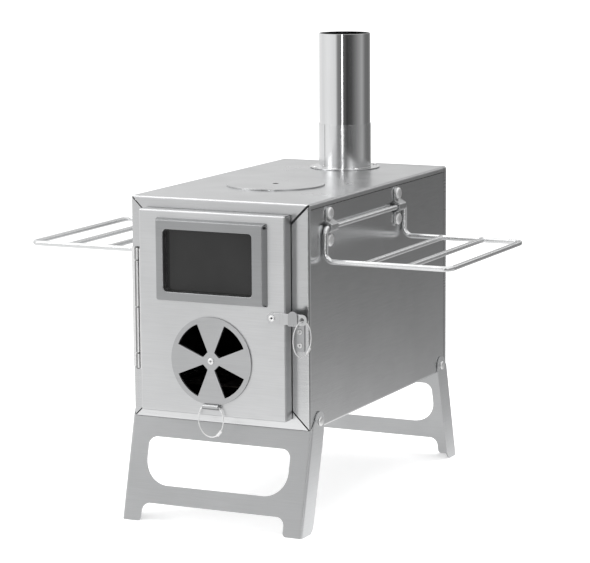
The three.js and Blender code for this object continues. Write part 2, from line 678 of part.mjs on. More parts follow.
// A four-sided block whose front face is smaller than its foot.
function slopedBlock(foot, front, yFoot, yFront) {
  const g = new THREE.BoxGeometry(2, 2, 2);
  const p = g.getAttribute('position');
  for (let i = 0; i < p.count; i += 1) {
    const rect = p.getY(i) > 0 ? foot : front;
    const x = p.getX(i) > 0 ? rect[1] : rect[0];
    const z = p.getZ(i) > 0 ? rect[3] : rect[2];
    p.setXYZ(i, x, p.getY(i) > 0 ? yFoot : yFront, z);
  }
  return solid(g);
}

function windowFrame() {
  const yFoot = DOOR_FACE - SEAT / 3;
  const yFront = DOOR_FACE - BEZEL_RISE;
  const top = DOOR_TOP - BEZEL_DROP;
  const front = [BEZEL_X - BEZEL_W / 2, BEZEL_X + BEZEL_W / 2, top - BEZEL_H, top];
  const grown = ([x0, x1, z0, z1], dx, dz) => [x0 - dx, x1 + dx, z0 - dz, z1 + dz];
  const foot = grown(front, BEZEL_SLOPE_SIDE, BEZEL_SLOPE_END);
  const skin = slopedBlock(foot, front, yFoot, yFront);
  const hollow = slopedBlock(grown(foot, HAIR - BEZEL_SHEET, HAIR - BEZEL_SHEET),
    grown(front, -BEZEL_SHEET, -BEZEL_SHEET), yFoot + 2 * HAIR, yFront + BEZEL_SHEET);
  const collarRing = windowHole(yFront + HAIR, yFoot, BEZEL_SHEET);
  const slits = corners(...foot).map(([x, z, dirX, dirZ]) =>
    cornerSlit(x, z, dirX, dirZ, BEZEL_SLIT_L, yFront + BEZEL_SLIT_BACK, yFoot + 1));
  return cut(join(cut(skin, hollow, ...slits), collarRing), windowHole(yFront - 1, yFoot + 1));
}
add('window_frame', windowFrame(), BEZEL_STEEL);

const glassFront = DOOR_INSIDE + SEAT / 3;
const glassBack = glassFront + GLASS_T;
const glassLow = DOOR_TOP - WINDOW_DROP - WINDOW_H - GLASS_LAP;
const glassTop = DOOR_TOP - WINDOW_DROP + GLASS_LAP;
const glassLeft = WINDOW_X - WINDOW_W / 2 - GLASS_LAP;
const glassRight = WINDOW_X + WINDOW_W / 2 + GLASS_LAP;
add('window_glass', box(glassLeft, glassRight, glassFront, glassBack, glassLow, glassTop), GLASS);

// A bent strip inside the door that laps the edge of the glass.
function glassClip(edge, outward) {
  const root = DOOR_INSIDE + SEAT / 3 + CLIP_T / 2;
  const lap = glassBack + SEAT / 3 + CLIP_T / 2;
  const line = [[root, edge + outward * CLIP_W], [root, edge + outward * (CLIP_T / 2 + SEAT)],
    [lap, edge + outward * (CLIP_T / 2 + SEAT)], [lap, edge - outward * CLIP_GRIP]];
  return plateSide(bentStrip(line, CLIP_T), glassLeft + CLIP_IN, glassRight - CLIP_IN);
}
add('glass_clip_top', glassClip(glassTop, 1), DOOR_STEEL);
add('glass_clip_bottom', glassClip(glassLow, -1), DOOR_STEEL);

// ---------------------------------------------------------------- air vent
const tubeR = TAB_TUBE_D / 2;
const tabY = VENT_BACK - tubeR - SEAT;
const tabZ = VENT_Z - VENT_D / 2 - TAB_DROP;

function ventDisc() {
  const disc = bar('y', VENT_FACE, VENT_BACK, [VENT_X, VENT_Z], VENT_D / 2, LARGE);
  const neckTop = VENT_Z - VENT_D / 2 * Math.cos(Math.PI / VENT_BLADES);
  const neck = box(VENT_X - TAB_W / 2, VENT_X + TAB_W / 2, VENT_FACE, VENT_BACK, tabZ, neckTop);
  const tube = bar('x', VENT_X - TAB_W / 2, VENT_X + TAB_W / 2, [tabY, tabZ], tubeR);
  const bore = bar('x', -BIG, BIG, [tabY, tabZ], TAB_BORE_D / 2);
  const shank = bar('y', VENT_FACE - 1, VENT_BACK + 1, [VENT_X, VENT_Z], EYELET_SHANK / 2 + SEAT);
  return cut(join(disc, neck, tube), bore, shank, ...ventSectors(VENT_FACE - 1, VENT_BACK + 1));
}
add('air_vent_disc', ventDisc(), BRUSHED);

// Heads from the middle out, as [radius, height]: a dome, and the rolled rim of a tubular rivet.
function domedHead(radius, height) {
  const crown = [0, 1, 2].map((k) => {
    const angle = Math.PI / 2 * (1 - k / 3);
    return [radius * Math.cos(angle), height * (DOME_RIM + (1 - DOME_RIM) * Math.sin(angle))];
  });
  return [...crown, [radius, height * DOME_RIM]];
}

function rolledHead(radius, height, inner) {
  return EYELET_ROLL.map(([out, up]) => [inner + (radius - inner) * out, height * up]);
}

// A rivet along +Y: head outside, shank through the stack, tail inside. With a bore it is tubular,
// open from end to end; without one its head is domed.
function rivet({ head, headH, shank, grip, tail, tailH, bore = 0 }) {
  const inner = bore / 2;
  const crown = bore > 0 ? rolledHead(head / 2, headH, inner) : domedHead(head / 2, headH);
  const profile = [...crown, [head / 2, 0], [shank / 2, 0], [shank / 2, -grip], [tail / 2, -grip],
    [tail / 2, -grip - tailH], [inner, -grip - tailH]];
  if (bore > 0) profile.push(profile[0]);
  return turned(profile);
}

function eyelet(x, z, yHead, yTail, head = EYELET_D, shank = EYELET_SHANK, bore = EYELET_BORE) {
  const g = rivet({
    head, headH: EYELET_H, shank, grip: yTail - yHead, tail: head * EYELET_TAIL, tailH: EYELET_TAIL_H, bore,
  });
  return solid(g.rotateX(Math.PI).translate(x, yHead, z));
}
const eyeletTail = DOOR_INSIDE + SEAT / 3;
add('vent_rivet', eyelet(VENT_X, VENT_Z, VENT_FACE - SEAT / 3, eyeletTail), RIVET_STEEL);

// An oval ring of stiff wire rope, hanging from its top: its two ends meet inside a crimped ferrule.
// A chord takes the place of its top where it runs straight through a tube.
function ropeRing(chord) {
  const full = 2 * Math.PI;
  const ferruleAt = THREE.MathUtils.degToRad(FERRULE_AT);
  const parting = THREE.MathUtils.degToRad(RING_PARTING);
  const top = Math.asin(chord / RING_W);
  const drop = RING_H / 2 * Math.cos(top);
  const at = (angle) =>
    new THREE.Vector3(RING_W / 2 * Math.sin(angle), 0, RING_H / 2 * Math.cos(angle) - drop);
  const run = (from, to) => {
    const steps = Math.ceil((to - from) / full * RING_STEPS);
    return Array.from({ length: steps + 1 }, (_, k) => at(from + (to - from) * k / steps));
  };
  const stations = chord > 0
    ? [...run(ferruleAt + parting, full - top), ...run(top, ferruleAt - parting)]
    : run(ferruleAt + parting, full + ferruleAt - parting);
  const lean = Math.atan2(RING_H * Math.sin(ferruleAt), RING_W * Math.cos(ferruleAt));
  const middle = at(ferruleAt);
  const sleeve = new THREE.CylinderGeometry(FERRULE_D / 2, FERRULE_D / 2, FERRULE_L, THIN);
  sleeve.rotateZ(Math.PI / 2).rotateY(lean).translate(middle.x, middle.y, middle.z);
  return join(wire(stations, ROPE_D, THIN), solid(sleeve));
}

add('vent_ring', ropeRing(TAB_W + ROPE_D).translate([VENT_X, tabY, tabZ]), WIRE_STEEL);

// ---------------------------------------------------------------- latch
function latchArm() {
  const r = LATCH_W / 2;
  const shape = new THREE.Shape();
  shape.absarc(LATCH_HOLE_X, LATCH_Z, r, -Math.PI / 2, Math.PI / 2, false);
  shape.absarc(LATCH_PIVOT_X, LATCH_Z, r, Math.PI / 2, 3 * Math.PI / 2, false);
  shape.closePath();
  return cut(plateFront(shape, LATCH_FACE, LATCH_BACK, 4),
    bar('y', LATCH_FACE - 1, LATCH_BACK + 1, [LATCH_HOLE_X, LATCH_Z], LATCH_HOLE_D / 2),
    bar('y', LATCH_FACE - 1, LATCH_BACK + 1, [LATCH_PIVOT_X, LATCH_Z], EYELET_SHANK / 2 + SEAT));
}
add('latch_arm', latchArm(), BRUSHED);
add('latch_rivet', eyelet(LATCH_PIVOT_X, LATCH_Z, LATCH_FACE - SEAT / 3, eyeletTail), RIVET_STEEL);

const latchMiddle = (LATCH_FACE + LATCH_BACK) / 2;
const latchRingTop = LATCH_Z - (LATCH_HOLE_D - ROPE_D) / 2 + SEAT;
add('latch_ring', ropeRing(0).rotate([0, 0, LATCH_RING_TURN])
  .translate([LATCH_HOLE_X, latchMiddle, latchRingTop]), WIRE_STEEL);

function latchKeeper() {
  const half = KEEPER_SHEET / 2;
  const plate = -SEAT / 3 - half;
  const shelf = LATCH_Z - LATCH_W / 2 - SEAT - half;
  const tongue = LATCH_FACE - SEAT - half;
  const low = keeperFootMiddle() - KEEPER_FOOT / 2;
  const line = [[plate, low], [plate, shelf], [tongue, shelf], [tongue, shelf + KEEPER_LIP]];
  const strip = plateSide(bentStrip(line, KEEPER_SHEET), KEEPER_X - KEEPER_W / 2, KEEPER_X + KEEPER_W / 2);
  const r = KEEPER_W / 2;
  const top = shelf + KEEPER_LIP;
  const outline = new THREE.Shape();
  outline.moveTo(KEEPER_X - r - 1, low - 1);
  outline.lineTo(KEEPER_X + r + 1, low - 1);
  outline.lineTo(KEEPER_X + r + 1, top - r);
  outline.absarc(KEEPER_X, top - r, r, 0, Math.PI, false);
  outline.lineTo(KEEPER_X - r - 1, top - r);
  outline.closePath();
  const holes = keeperRivetZ.map((z) =>
    bar('y', plate - 2, plate + 2, [KEEPER_X, z], KEEPER_SHANK / 2 + SEAT));
  return cut(strip.intersect(plateFront(outline, -BIG, BIG, 4)), ...holes);
}
add('latch_keeper', latchKeeper(), BRUSHED);
keeperRivetZ.forEach((z, i) => {
  add(`keeper_rivet_${i + 1}`, eyelet(KEEPER_X, z, -SEAT / 3 - KEEPER_SHEET - SEAT / 3, SHEET + SEAT / 3,
    KEEPER_RIVET_D, KEEPER_SHANK, KEEPER_BORE), RIVET_STEEL);
});

// ---------------------------------------------------------------- hinge
const hingeLength = HINGE_KNUCKLES.reduce((a, b) => a + b);
const hingeLow = (BODY_H - hingeLength) / 2;
const barrelR = HINGE_BARREL_D / 2;

function knuckleSpans(owner) {
  let z = hingeLow;
  const spans = [];
  HINGE_KNUCKLES.forEach((length, i) => {
    if (i % 2 === owner) spans.push([z + SEAT / 2, z + length - SEAT / 2]);
    z += length;
  });
  return spans;
}

function hingeLeaf(owner, plate, web) {
  const bore = bar('z', -BIG, BIG, [HINGE_X, HINGE_Y], HINGE_BORE_D / 2);
  const knuckles = knuckleSpans(owner).map(([z0, z1]) =>
    join(bar('z', z0, z1, [HINGE_X, HINGE_Y], barrelR, BARREL), web(z0, z1)));
  return cut(join(plate, ...knuckles), bore);
}

const leafBack = -SEAT / 3;
const leafFace = leafBack - HINGE_SHEET;
const bodyLeafPlate = box(-HALF_W + HINGE_LEAF_EDGE, HINGE_X - barrelR + HINGE_SHEET, leafFace, leafBack,
  hingeLow, hingeLow + hingeLength);
add('hinge_body_leaf', hingeLeaf(1, bodyLeafPlate, (z0, z1) =>
  box(HINGE_X - barrelR, HINGE_X - barrelR + HINGE_SHEET, HINGE_Y, leafBack, z0, z1)), BRUSHED);

const returnFace = DOOR_LEFT - SEAT / 3;
const doorLeafPlate = box(returnFace - HINGE_SHEET, returnFace, DOOR_FACE + DOOR_BEND,
  HINGE_Y + barrelR, hingeLow, hingeLow + hingeLength);
add('hinge_door_leaf', hingeLeaf(0, doorLeafPlate, (z0, z1) =>
  box(HINGE_X, returnFace, HINGE_Y + barrelR - HINGE_SHEET, HINGE_Y + barrelR, z0, z1)), BRUSHED);

const pinProfile = [[0, hingeLength + HINGE_HEAD_H + SEAT], [HINGE_HEAD_D * 0.3, hingeLength + HINGE_HEAD_H],
  [HINGE_HEAD_D / 2, hingeLength + HINGE_HEAD_H * 0.5], [HINGE_HEAD_D / 2, hingeLength + SEAT],
  [HINGE_PIN_D / 2, hingeLength + SEAT], [HINGE_PIN_D / 2, -SEAT], [HINGE_HEAD_D / 2, -SEAT],
  [HINGE_HEAD_D / 2, -HINGE_HEAD_H * 0.6], [HINGE_HEAD_D * 0.3, -HINGE_HEAD_H], [0, -HINGE_HEAD_H]];
add('hinge_pin', solid(turned(pinProfile).rotateX(Math.PI / 2)
  .translate(HINGE_X, HINGE_Y, hingeLow)), RIVET_STEEL);

// ---------------------------------------------------------------- side shelves
// One closed loop of wire, hanging from its own pivot rod, with cross bars welded in.
function sideShelf(sign) {
  const at = (x, y, z) => new THREE.Vector3(sign * x, y, z);
  const low = ROD_Z - SHELF_DROP;
  const out = HALF_W + SHELF_OUT;
  const stub = 2 * SHELF_BEND;
  const thin = WIRE_D / 2 - HAIR / 2;
  const tuck = WIRE_D / 2;
  const loop = bentLine([
    at(ROD_X, SHELF_FRONT + stub, ROD_Z), at(ROD_X, SHELF_FRONT, ROD_Z), at(ROD_X, SHELF_FRONT, low),
    at(out, SHELF_FRONT, low), at(out, SHELF_BACK, low), at(ROD_X, SHELF_BACK, low),
    at(ROD_X, SHELF_BACK, ROD_Z), at(ROD_X, SHELF_BACK - stub, ROD_Z),
  ], [SHELF_ROD_BEND, SHELF_BEND, SHELF_BEND, SHELF_BEND, SHELF_BEND, SHELF_ROD_BEND]);
  const rod = bar('y', SHELF_FRONT + stub - tuck, SHELF_BACK - stub + tuck, [sign * ROD_X, ROD_Z], thin);
  const bars = SHELF_BARS.map((x) => bar('y', SHELF_FRONT, SHELF_BACK, [sign * (HALF_W + x), low], thin));
  return join(wire(loop, WIRE_D), rod, ...bars);
}

// A strap with a raised loop that holds the rod against the side panel.
function shelfBracket(sign, y) {
  const half = BRACKET_SHEET / 2;
  const wall = SEAT / 3 + half;
  const crest = ROD_X - HALF_W + WIRE_D / 2 + SEAT + half;
  const mouth = BRACKET_MOUTH / 2;
  const crown = BRACKET_CROWN.map(([inwards, up]) => [crest - inwards, up]);
  const above = [[wall, BRACKET_H / 2], [wall, mouth], ...crown];
  const below = above.slice(0, -1).reverse().map(([u, v]) => [u, -v]);
  const line = [...above, ...below].map(([u, v]) => [sign * (HALF_W + u), ROD_Z + v]);
  const strap = plateFront(bentStrip(line, BRACKET_SHEET), y - BRACKET_W / 2, y + BRACKET_W / 2);
  const holes = [-1, 1].map((end) =>
    bar('x', -BIG, BIG, [y, ROD_Z + end * BRACKET_PITCH / 2], RIVET_SHANK / 2 + SEAT));
  return cut(strap, ...holes);
}

// A solid rivet through a side panel, its domed head at a distance out from the panel.
function wallRivet(sign, y, z, headAt, head, headH) {
  const grip = headAt + SHEET + SEAT / 3;
  const g = rivet({
    head, headH, shank: RIVET_SHANK, grip, tail: RIVET_TAIL_D, tailH: RIVET_TAIL_H,
  });
  return solid(g.rotateZ(-sign * Math.PI / 2).translate(sign * (HALF_W + headAt), y, z));
}

for (const [side, sign] of [['left', -1], ['right', 1]]) {
  add(`shelf_${side}`, sideShelf(sign), WIRE_STEEL);
  bracketStations().forEach((y, i) => {
    const place = i === 0 ? 'front' : 'rear';
    add(`shelf_bracket_${side}_${place}`, shelfBracket(sign, y), BRUSHED);
    for (const [end, up] of [['upper', 1], ['lower', -1]]) {
      add(`bracket_rivet_${side}_${place}_${end}`, wallRivet(sign, y, ROD_Z + up * BRACKET_PITCH / 2,
        SEAT / 3 + BRACKET_SHEET + SEAT / 3, DOME_D, DOME_H), RIVET_STEEL);
    }
  });
}

// ---------------------------------------------------------------- legs
// Drawn upright in its own plane, then tilted about its top edge: u runs inwards from the plate's
// face and v up the plate. The front leg is made, and the rear leg is its mirror image.
const splay = THREE.MathUtils.degToRad(LEG_SPLAY);
const pivotU = LEG_PIVOT_IN * Math.cos(splay) - LEG_PIVOT_UP * Math.sin(splay);
const pivotV = LEG_PIVOT_IN * Math.sin(splay) + LEG_PIVOT_UP * Math.cos(splay);

function legPlate() {
  const foot = -(LEG_HEIGHT + LEG_TOE);
  const window = roundedPolygon([
    [-LEG_OUTER + LEG_WINDOW_MARGIN, -LEG_WINDOW_TOP - LEG_WINDOW_H, LEG_WINDOW_R_LOW],
    [LEG_OUTER - LEG_WINDOW_MARGIN, -LEG_WINDOW_TOP - LEG_WINDOW_H, LEG_WINDOW_R_LOW],
    [LEG_OUTER - LEG_WINDOW_MARGIN, -LEG_WINDOW_TOP, LEG_WINDOW_R_TOP],
    [-LEG_OUTER + LEG_WINDOW_MARGIN, -LEG_WINDOW_TOP, LEG_WINDOW_R_TOP],
  ]);
  const inner = LEG_OUTER - LEG_FOOT_W;
  const toe = -LEG_HEIGHT / Math.cos(splay);
  const outline = roundedPolygon([
    [-LEG_OUTER, 0], [-LEG_OUTER, foot], [-inner - LEG_FOOT_R, foot], [-inner - LEG_FOOT_R, toe],
    [-inner, toe, LEG_FOOT_R - SEAM], [-inner, -LEG_ARCH_TOP, LEG_ARCH_R],
    [inner, -LEG_ARCH_TOP, LEG_ARCH_R], [inner, toe, LEG_FOOT_R - SEAM],
    [inner + LEG_FOOT_R, toe], [inner + LEG_FOOT_R, foot], [LEG_OUTER, foot], [LEG_OUTER, 0],
  ]);
  return cut(plateFront(outline, 0, LEG_SHEET), plateFront(window, -1, LEG_SHEET + 1, 3));
}

function legCheek(sign) {
  const toe = -LEG_HEIGHT / Math.cos(splay);
  const back = toe + LEG_CHEEK_FOOT * Math.tan(splay);
  const outline = roundedPolygon([
    [0, LEG_CHEEK_RISE], [0, toe - 1], [LEG_CHEEK_FOOT, back, LEG_TOE], [LEG_CHEEK_TOP, LEG_SHOULDER],
    [LEG_CHEEK_TOP - LEG_SHOULDER_IN, pivotV], [pivotU - LEG_EAR_R, pivotV, LEG_SHEET / 3],
  ]);
  const ear = circle(pivotU, pivotV, LEG_EAR_R);
  const x0 = sign > 0 ? LEG_OUTER - LEG_SHEET : -LEG_OUTER;
  const side = join(plateSide(outline, x0, x0 + LEG_SHEET), plateSide(ear, x0, x0 + LEG_SHEET, 8));
  return cut(side, bar('x', -BIG, BIG, [pivotU, pivotV], RIVET_SHANK / 2 + SEAT));
}

function foldingLeg() {
  const upright = join(legPlate(), legCheek(-1), legCheek(1));
  const tilted = upright.rotate([-LEG_SPLAY, 0, 0]);
  const floor = box(-BIG, BIG, -BIG, BIG, -BIG, -LEG_HEIGHT);
  const underBody = box(-HALF_W - LEG_GAP, HALF_W + LEG_GAP, -BIG, BIG, -SEAM, BIG);
  return cut(tilted, floor, underBody);
}

const leg = foldingLeg();
add('front_leg', leg, LEG_STEEL);
add('rear_leg', leg.mirror([0, 1, 0]).translate([0, BODY_D, 0]), LEG_STEEL);
for (const [side, sign] of [['left', -1], ['right', 1]]) {
  for (const [place, y] of [['front', LEG_PIVOT_IN], ['rear', BODY_D - LEG_PIVOT_IN]]) {
    add(`leg_rivet_${place}_${side}`, wallRivet(sign, y, LEG_PIVOT_UP, LEG_GAP + LEG_SHEET + SEAT,
      LEG_RIVET_D, LEG_RIVET_H), RIVET_STEEL);
  }
}

export default stove;
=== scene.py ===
# A tent wood stove: a folded stainless box on two folding legs, with a glazed door, an air vent, a flue
# stub, a lift-off cooking lid and two wire shelves. The pieces follow the order of assembly.
import math

import bmesh
import bpy
from mathutils import Matrix, Vector


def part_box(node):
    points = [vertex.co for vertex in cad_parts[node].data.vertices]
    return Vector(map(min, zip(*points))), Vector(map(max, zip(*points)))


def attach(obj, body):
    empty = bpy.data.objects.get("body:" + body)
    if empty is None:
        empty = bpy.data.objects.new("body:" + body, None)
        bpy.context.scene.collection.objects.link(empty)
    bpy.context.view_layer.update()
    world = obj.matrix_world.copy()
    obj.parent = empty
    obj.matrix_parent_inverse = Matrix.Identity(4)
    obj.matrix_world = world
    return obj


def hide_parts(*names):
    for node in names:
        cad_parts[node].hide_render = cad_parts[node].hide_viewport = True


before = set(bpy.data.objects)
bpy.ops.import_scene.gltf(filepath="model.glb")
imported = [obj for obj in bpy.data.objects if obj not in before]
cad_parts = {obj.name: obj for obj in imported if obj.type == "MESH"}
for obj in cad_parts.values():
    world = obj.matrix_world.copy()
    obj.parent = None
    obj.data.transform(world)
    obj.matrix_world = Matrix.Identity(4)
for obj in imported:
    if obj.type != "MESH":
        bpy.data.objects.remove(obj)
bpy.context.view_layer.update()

# ---------------------------------------------------------------- the view
# The photograph was taken from the right of the door and a little above the stove, with a long lens.
# Place and turn come from the edges of the box in the picture.
EYE = (1.2520, -2.6366, 0.7066)
TURN, TILT, LEAN = 25.43, 9.12, 0.38
FOCAL = 2590.2
PICTURE_WIDTH = 590

camera = bpy.data.objects.new("camera", bpy.data.cameras.new("camera"))
camera.data.sensor_fit = "HORIZONTAL"
camera.data.lens = FOCAL / PICTURE_WIDTH * camera.data.sensor_width
camera.data.clip_end = 200
camera.matrix_world = (
    Matrix.Translation(EYE)
    @ Matrix.Rotation(math.radians(TURN), 4, "Z")
    @ Matrix.Rotation(math.radians(90 - TILT), 4, "X")
    @ Matrix.Rotation(math.radians(-LEAN), 4, "Z")
)
bpy.context.collection.objects.link(camera)
bpy.context.scene.camera = camera
bpy.context.scene.view_settings.view_transform = "Standard"

# ---------------------------------------------------------------- floor and light
# A pale studio floor without edges, evenly white to the eye. Polished steel sees more of the studio than
# the eye does: bright screens on its left, dark curtains on its right, and a white board in front of it.
FLOOR_REACH = 60
FLOOR_WHITE = 0.93
FLOOR_LIFT = 0.3
SKY = 1.06
SCREENS_LEFT = ((-180, 0.90), (-150, 1.00), (-124, 0.92), (-108, 0.86), (-97, 0.26), (-80, 0.20))
SCREENS_BEHIND = ((112, 0.72), (128, 1.00), (180, 0.90))
STUDIO_FLOOR = (*SCREENS_LEFT, (-55, 0.05), (-33, 0.09), (-9, 0.25), (19, 0.46), (40, 0.20), (65, 0.17),
                (95, 0.30), *SCREENS_BEHIND)
STUDIO_WALLS = (*SCREENS_LEFT, (-60, 0.15), (-48, 0.70), (-38, 1.30), (-28, 0.70), (-10, 0.35),
                (40, 0.30), (95, 0.40), *SCREENS_BEHIND)
NEAR_GLOW = 1.05
NEAR_REACH = 0.33
NEAR_AT = (-0.13, -0.12, 0)
CEILING = 1.10
CEILING_FROM, CEILING_TO = 0.25, 0.8
BOARD = (-0.15, 0.34, -2.1, -0.5)
BOARD_UP = 0.002
BOARD_GLOW = 1.3
LIGHTS = {
    "overhead": ((-0.3, 0.2, 2.6), (3.0, 3.0), 34),
    "folds": ((-1.0, -0.6, 2.3), (0.8, 0.8), 5),
    "front_left": ((-1.8, -1.6, 1.3), (0.9, 1.2), 7),
    "camera_strip": ((0.55, -2.15, 0.6), (0.17, 1.4), 3.2),
    "behind": ((0.8, 2.1, 1.1), (0.5, 0.3), 0.5),
}
LIGHTS_AIM = 0.3
WHITE = (1, 1, 1, 1)


def set_inputs(node, values):
    """Each input takes a value, or a link from another node's output."""
    for name, value in values.items():
        if isinstance(value, bpy.types.NodeSocket):
            node.id_data.links.new(value, node.inputs[name])
        else:
            node.inputs[name].default_value = value


def new_node(tree, kind, values=None, **settings):
    node = tree.nodes.new(f"ShaderNode{kind}")
    for name, value in settings.items():
        setattr(node, name, value)
    set_inputs(node, values or {})
    return node


def new_material(name):
    material = bpy.data.materials.new(name)
    material.use_nodes = True
    return material, material.node_tree


def studio_ramp(tree, vector, levels):
    """Levels by direction round the stove, in degrees from the right-hand side: the studio's brightness, or
    the hinge's painted light.
    """
    around = new_node(tree, "TexGradient", {"Vector": vector}, gradient_type="RADIAL")
    ramp = new_node(tree, "ValToRGB", {"Fac": around.outputs["Fac"]})
    stops = ramp.color_ramp.elements
    for degrees, level in levels[1:-1]:
        stops.new(degrees / 360 + 0.5)
    for stop, (degrees, level) in zip(stops, levels):
        stop.position = degrees / 360 + 0.5
        stop.color = (level, level, level, 1)
    return ramp.outputs["Color"]


def to_eye_and_steel(tree, seen, mirrored, output):
    """One look for the camera and another in the reflections of the steel."""
    ray = new_node(tree, "LightPath").outputs["Is Glossy Ray"]
    mix = new_node(tree, "MixShader", {"Fac": ray, 1: seen, 2: mirrored})
    set_inputs(tree.nodes[output], {"Surface": mix.outputs["Shader"]})


def studio_floor():
    """White paint with a faint mottle. Steel sees it bright near the stove, and fading as the ramp says."""
    material, tree = new_material("studio_floor")
    mottle = new_node(tree, "TexNoise", {"Scale": 2.5}).outputs["Fac"]
    tone = new_node(tree, "MapRange", {"Value": mottle, "To Min": FLOOR_WHITE - 0.01, "To Max": FLOOR_WHITE})
    paint = tree.nodes["Principled BSDF"]
    set_inputs(paint, {"Base Color": tone.outputs["Result"], "Roughness": 0.8, "Specular IOR Level": 0.2,
                       "Emission Color": WHITE, "Emission Strength": FLOOR_LIFT})

    place = new_node(tree, "NewGeometry").outputs["Position"]
    reach = new_node(tree, "VectorMath", {0: place, 1: NEAR_AT}, operation="DISTANCE").outputs["Value"]
    closeness = new_node(tree, "Math", {0: NEAR_REACH, 1: reach}, operation="DIVIDE").outputs["Value"]
    fade = new_node(tree, "MapRange", {"Value": closeness, "From Min": 0.1, "To Max": NEAR_GLOW,
                                       "To Min": studio_ramp(tree, place, STUDIO_FLOOR)})
    glow = new_node(tree, "Emission", {"Strength": fade.outputs["Result"]})
    to_eye_and_steel(tree, paint.outputs["BSDF"], glow.outputs["Emission"], "Material Output")
    return material


def board_white():
    material, tree = new_material("board_white")
    glow = new_node(tree, "Emission", {"Strength": BOARD_GLOW})
    set_inputs(tree.nodes["Material Output"], {"Surface": glow.outputs["Emission"]})
    return material


def stage_sheet(name, x0, x1, y0, y1, z, material):
    """A flat sheet that belongs to the studio and not to the stove."""
    mesh = bpy.data.meshes.new(name)
    mesh.from_pydata([(x0, y0, z), (x1, y0, z), (x1, y1, z), (x0, y1, z)], [], [(0, 1, 2, 3)])
    mesh.materials.append(material)
    sheet = bpy.data.objects.new(name, mesh)
    bpy.context.collection.objects.link(sheet)
    return sheet


stage_sheet("floor", -FLOOR_REACH, FLOOR_REACH, -FLOOR_REACH, FLOOR_REACH, 0, studio_floor())
board = stage_sheet("white_board", *BOARD, BOARD_UP, board_white())
board.visible_camera = board.visible_diffuse = board.visible_shadow = False

for name, (place, size, power) in LIGHTS.items():
    lamp = bpy.data.lights.new(name, "AREA")
    lamp.shape = "RECTANGLE"
    lamp.size, lamp.size_y = size
    lamp.energy = power
    holder = bpy.data.objects.new(name, lamp)
    holder.location = place
    aim = Vector((0, 0, min(LIGHTS_AIM, place[2]))) - Vector(place)
    holder.rotation_euler = aim.to_track_quat("-Z", "Y").to_euler()
    holder.visible_camera = False
    holder.visible_glossy = name != "overhead"
    bpy.context.collection.objects.link(holder)

world = bpy.data.worlds.new("studio")
bpy.context.scene.world = world
world.use_nodes = True
tree = world.node_tree
backdrop = tree.nodes["Background"]
set_inputs(backdrop, {"Color": WHITE, "Strength": SKY})
direction = new_node(tree, "TexCoord").outputs["Generated"]
towards = new_node(tree, "SeparateXYZ", {"Vector": direction}).outputs["Z"]
lift = new_node(tree, "MapRange", {"Value": towards, "From Min": CEILING_FROM, "From Max": CEILING_TO,
                                   "To Min": studio_ramp(tree, direction, STUDIO_WALLS), "To Max": CEILING},
                interpolation_type="SMOOTHSTEP")
studio = new_node(tree, "Background", {"Color": WHITE, "Strength": lift.outputs["Result"]})
to_eye_and_steel(tree, backdrop.outputs["Background"], studio.outputs["Background"], "World Output")

# ---------------------------------------------------------------- firebox
# Five panels of 1.2 mm stainless sheet: four are folded round the edges of the box and mitred at the
# corners of the front frame, and the fifth closes the rear. The seams stay open and show as dark lines.


def cool(level):
    """The grey of bare stainless steel, a little blue."""
    return (level, level + 0.005, level + 0.01, 1)


MM = 0.001
ORIGIN = Vector((0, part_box("top_panel")[0].y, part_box("bottom_panel")[0].z))
SHEET = 1.2
FOLD = 3
FRAME_W = 30
FOLD_ZONE = 3.2
LIP = 6
SIDE_SEAM = 0.7
MITRE_SEAMS = {(-1, 1): 1.3, (1, 1): 2.4, (1, -1): 1.5, (-1, -1): 1.3}
SHOULDER = math.radians(35)
BODY_GREY = cool(0.60)
SIDE_GREY = cool(0.60)
FLOOR_GREY = cool(0.76)
SCRATCH_DEPTH = 0.02
PIPE_HOLE = 54
COOK_HOLE = 100
WALL_RIVET_HOLE = 5.6
WELD_DISTANCE = 0.004
FLAT = math.radians(0.4)


def span(node):
    """The corners of a solid in the stove's own millimetres: front face y = 0, underside z = 0."""
    return [(corner - ORIGIN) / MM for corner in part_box(node)]


def middle_of(node):
    return sum(span(node), Vector()) / 2


def mesh_of(points, faces):
    mesh = bpy.data.meshes.new("part")
    mesh.from_pydata(points, [], faces)
    shape = bmesh.new()
    shape.from_mesh(mesh)
    bmesh.ops.recalc_face_normals(shape, faces=shape.faces)
    shape.to_mesh(mesh)
    shape.free()
    return mesh


def box(low, high):
    (x0, y0, z0), (x1, y1, z1) = low, high
    points = [(x, y, z) for z in (z0, z1) for x, y in ((x0, y0), (x1, y0), (x1, y1), (x0, y1))]
    faces = [(0, 1, 2, 3), (4, 5, 6, 7), (0, 1, 5, 4), (1, 2, 6, 5), (2, 3, 7, 6), (3, 0, 4, 7)]
    return mesh_of(points, faces)


def round_box(low, high, radius, steps=5):
    mesh = box(low, high)
    shape = bmesh.new()
    shape.from_mesh(mesh)
    bmesh.ops.bevel(shape, geom=shape.edges[:], offset=radius, segments=steps, profile=0.5, affect="EDGES")
    shape.to_mesh(mesh)
    shape.free()
    return mesh


def prism(outline, axis, start, end):
    """An outline in (y, z), (x, z) or (x, y), drawn out along the remaining axis."""
    def along(u, v, w):
        return {"x": (w, u, v), "y": (u, w, v), "z": (u, v, w)}[axis]
    count = len(outline)
    points = [along(u, v, w) for w in (start, end) for u, v in outline]
    sides = [(i, (i + 1) % count, count + (i + 1) % count, count + i) for i in range(count)]
    return mesh_of(points, [tuple(range(count)), tuple(range(count, 2 * count)), *sides])


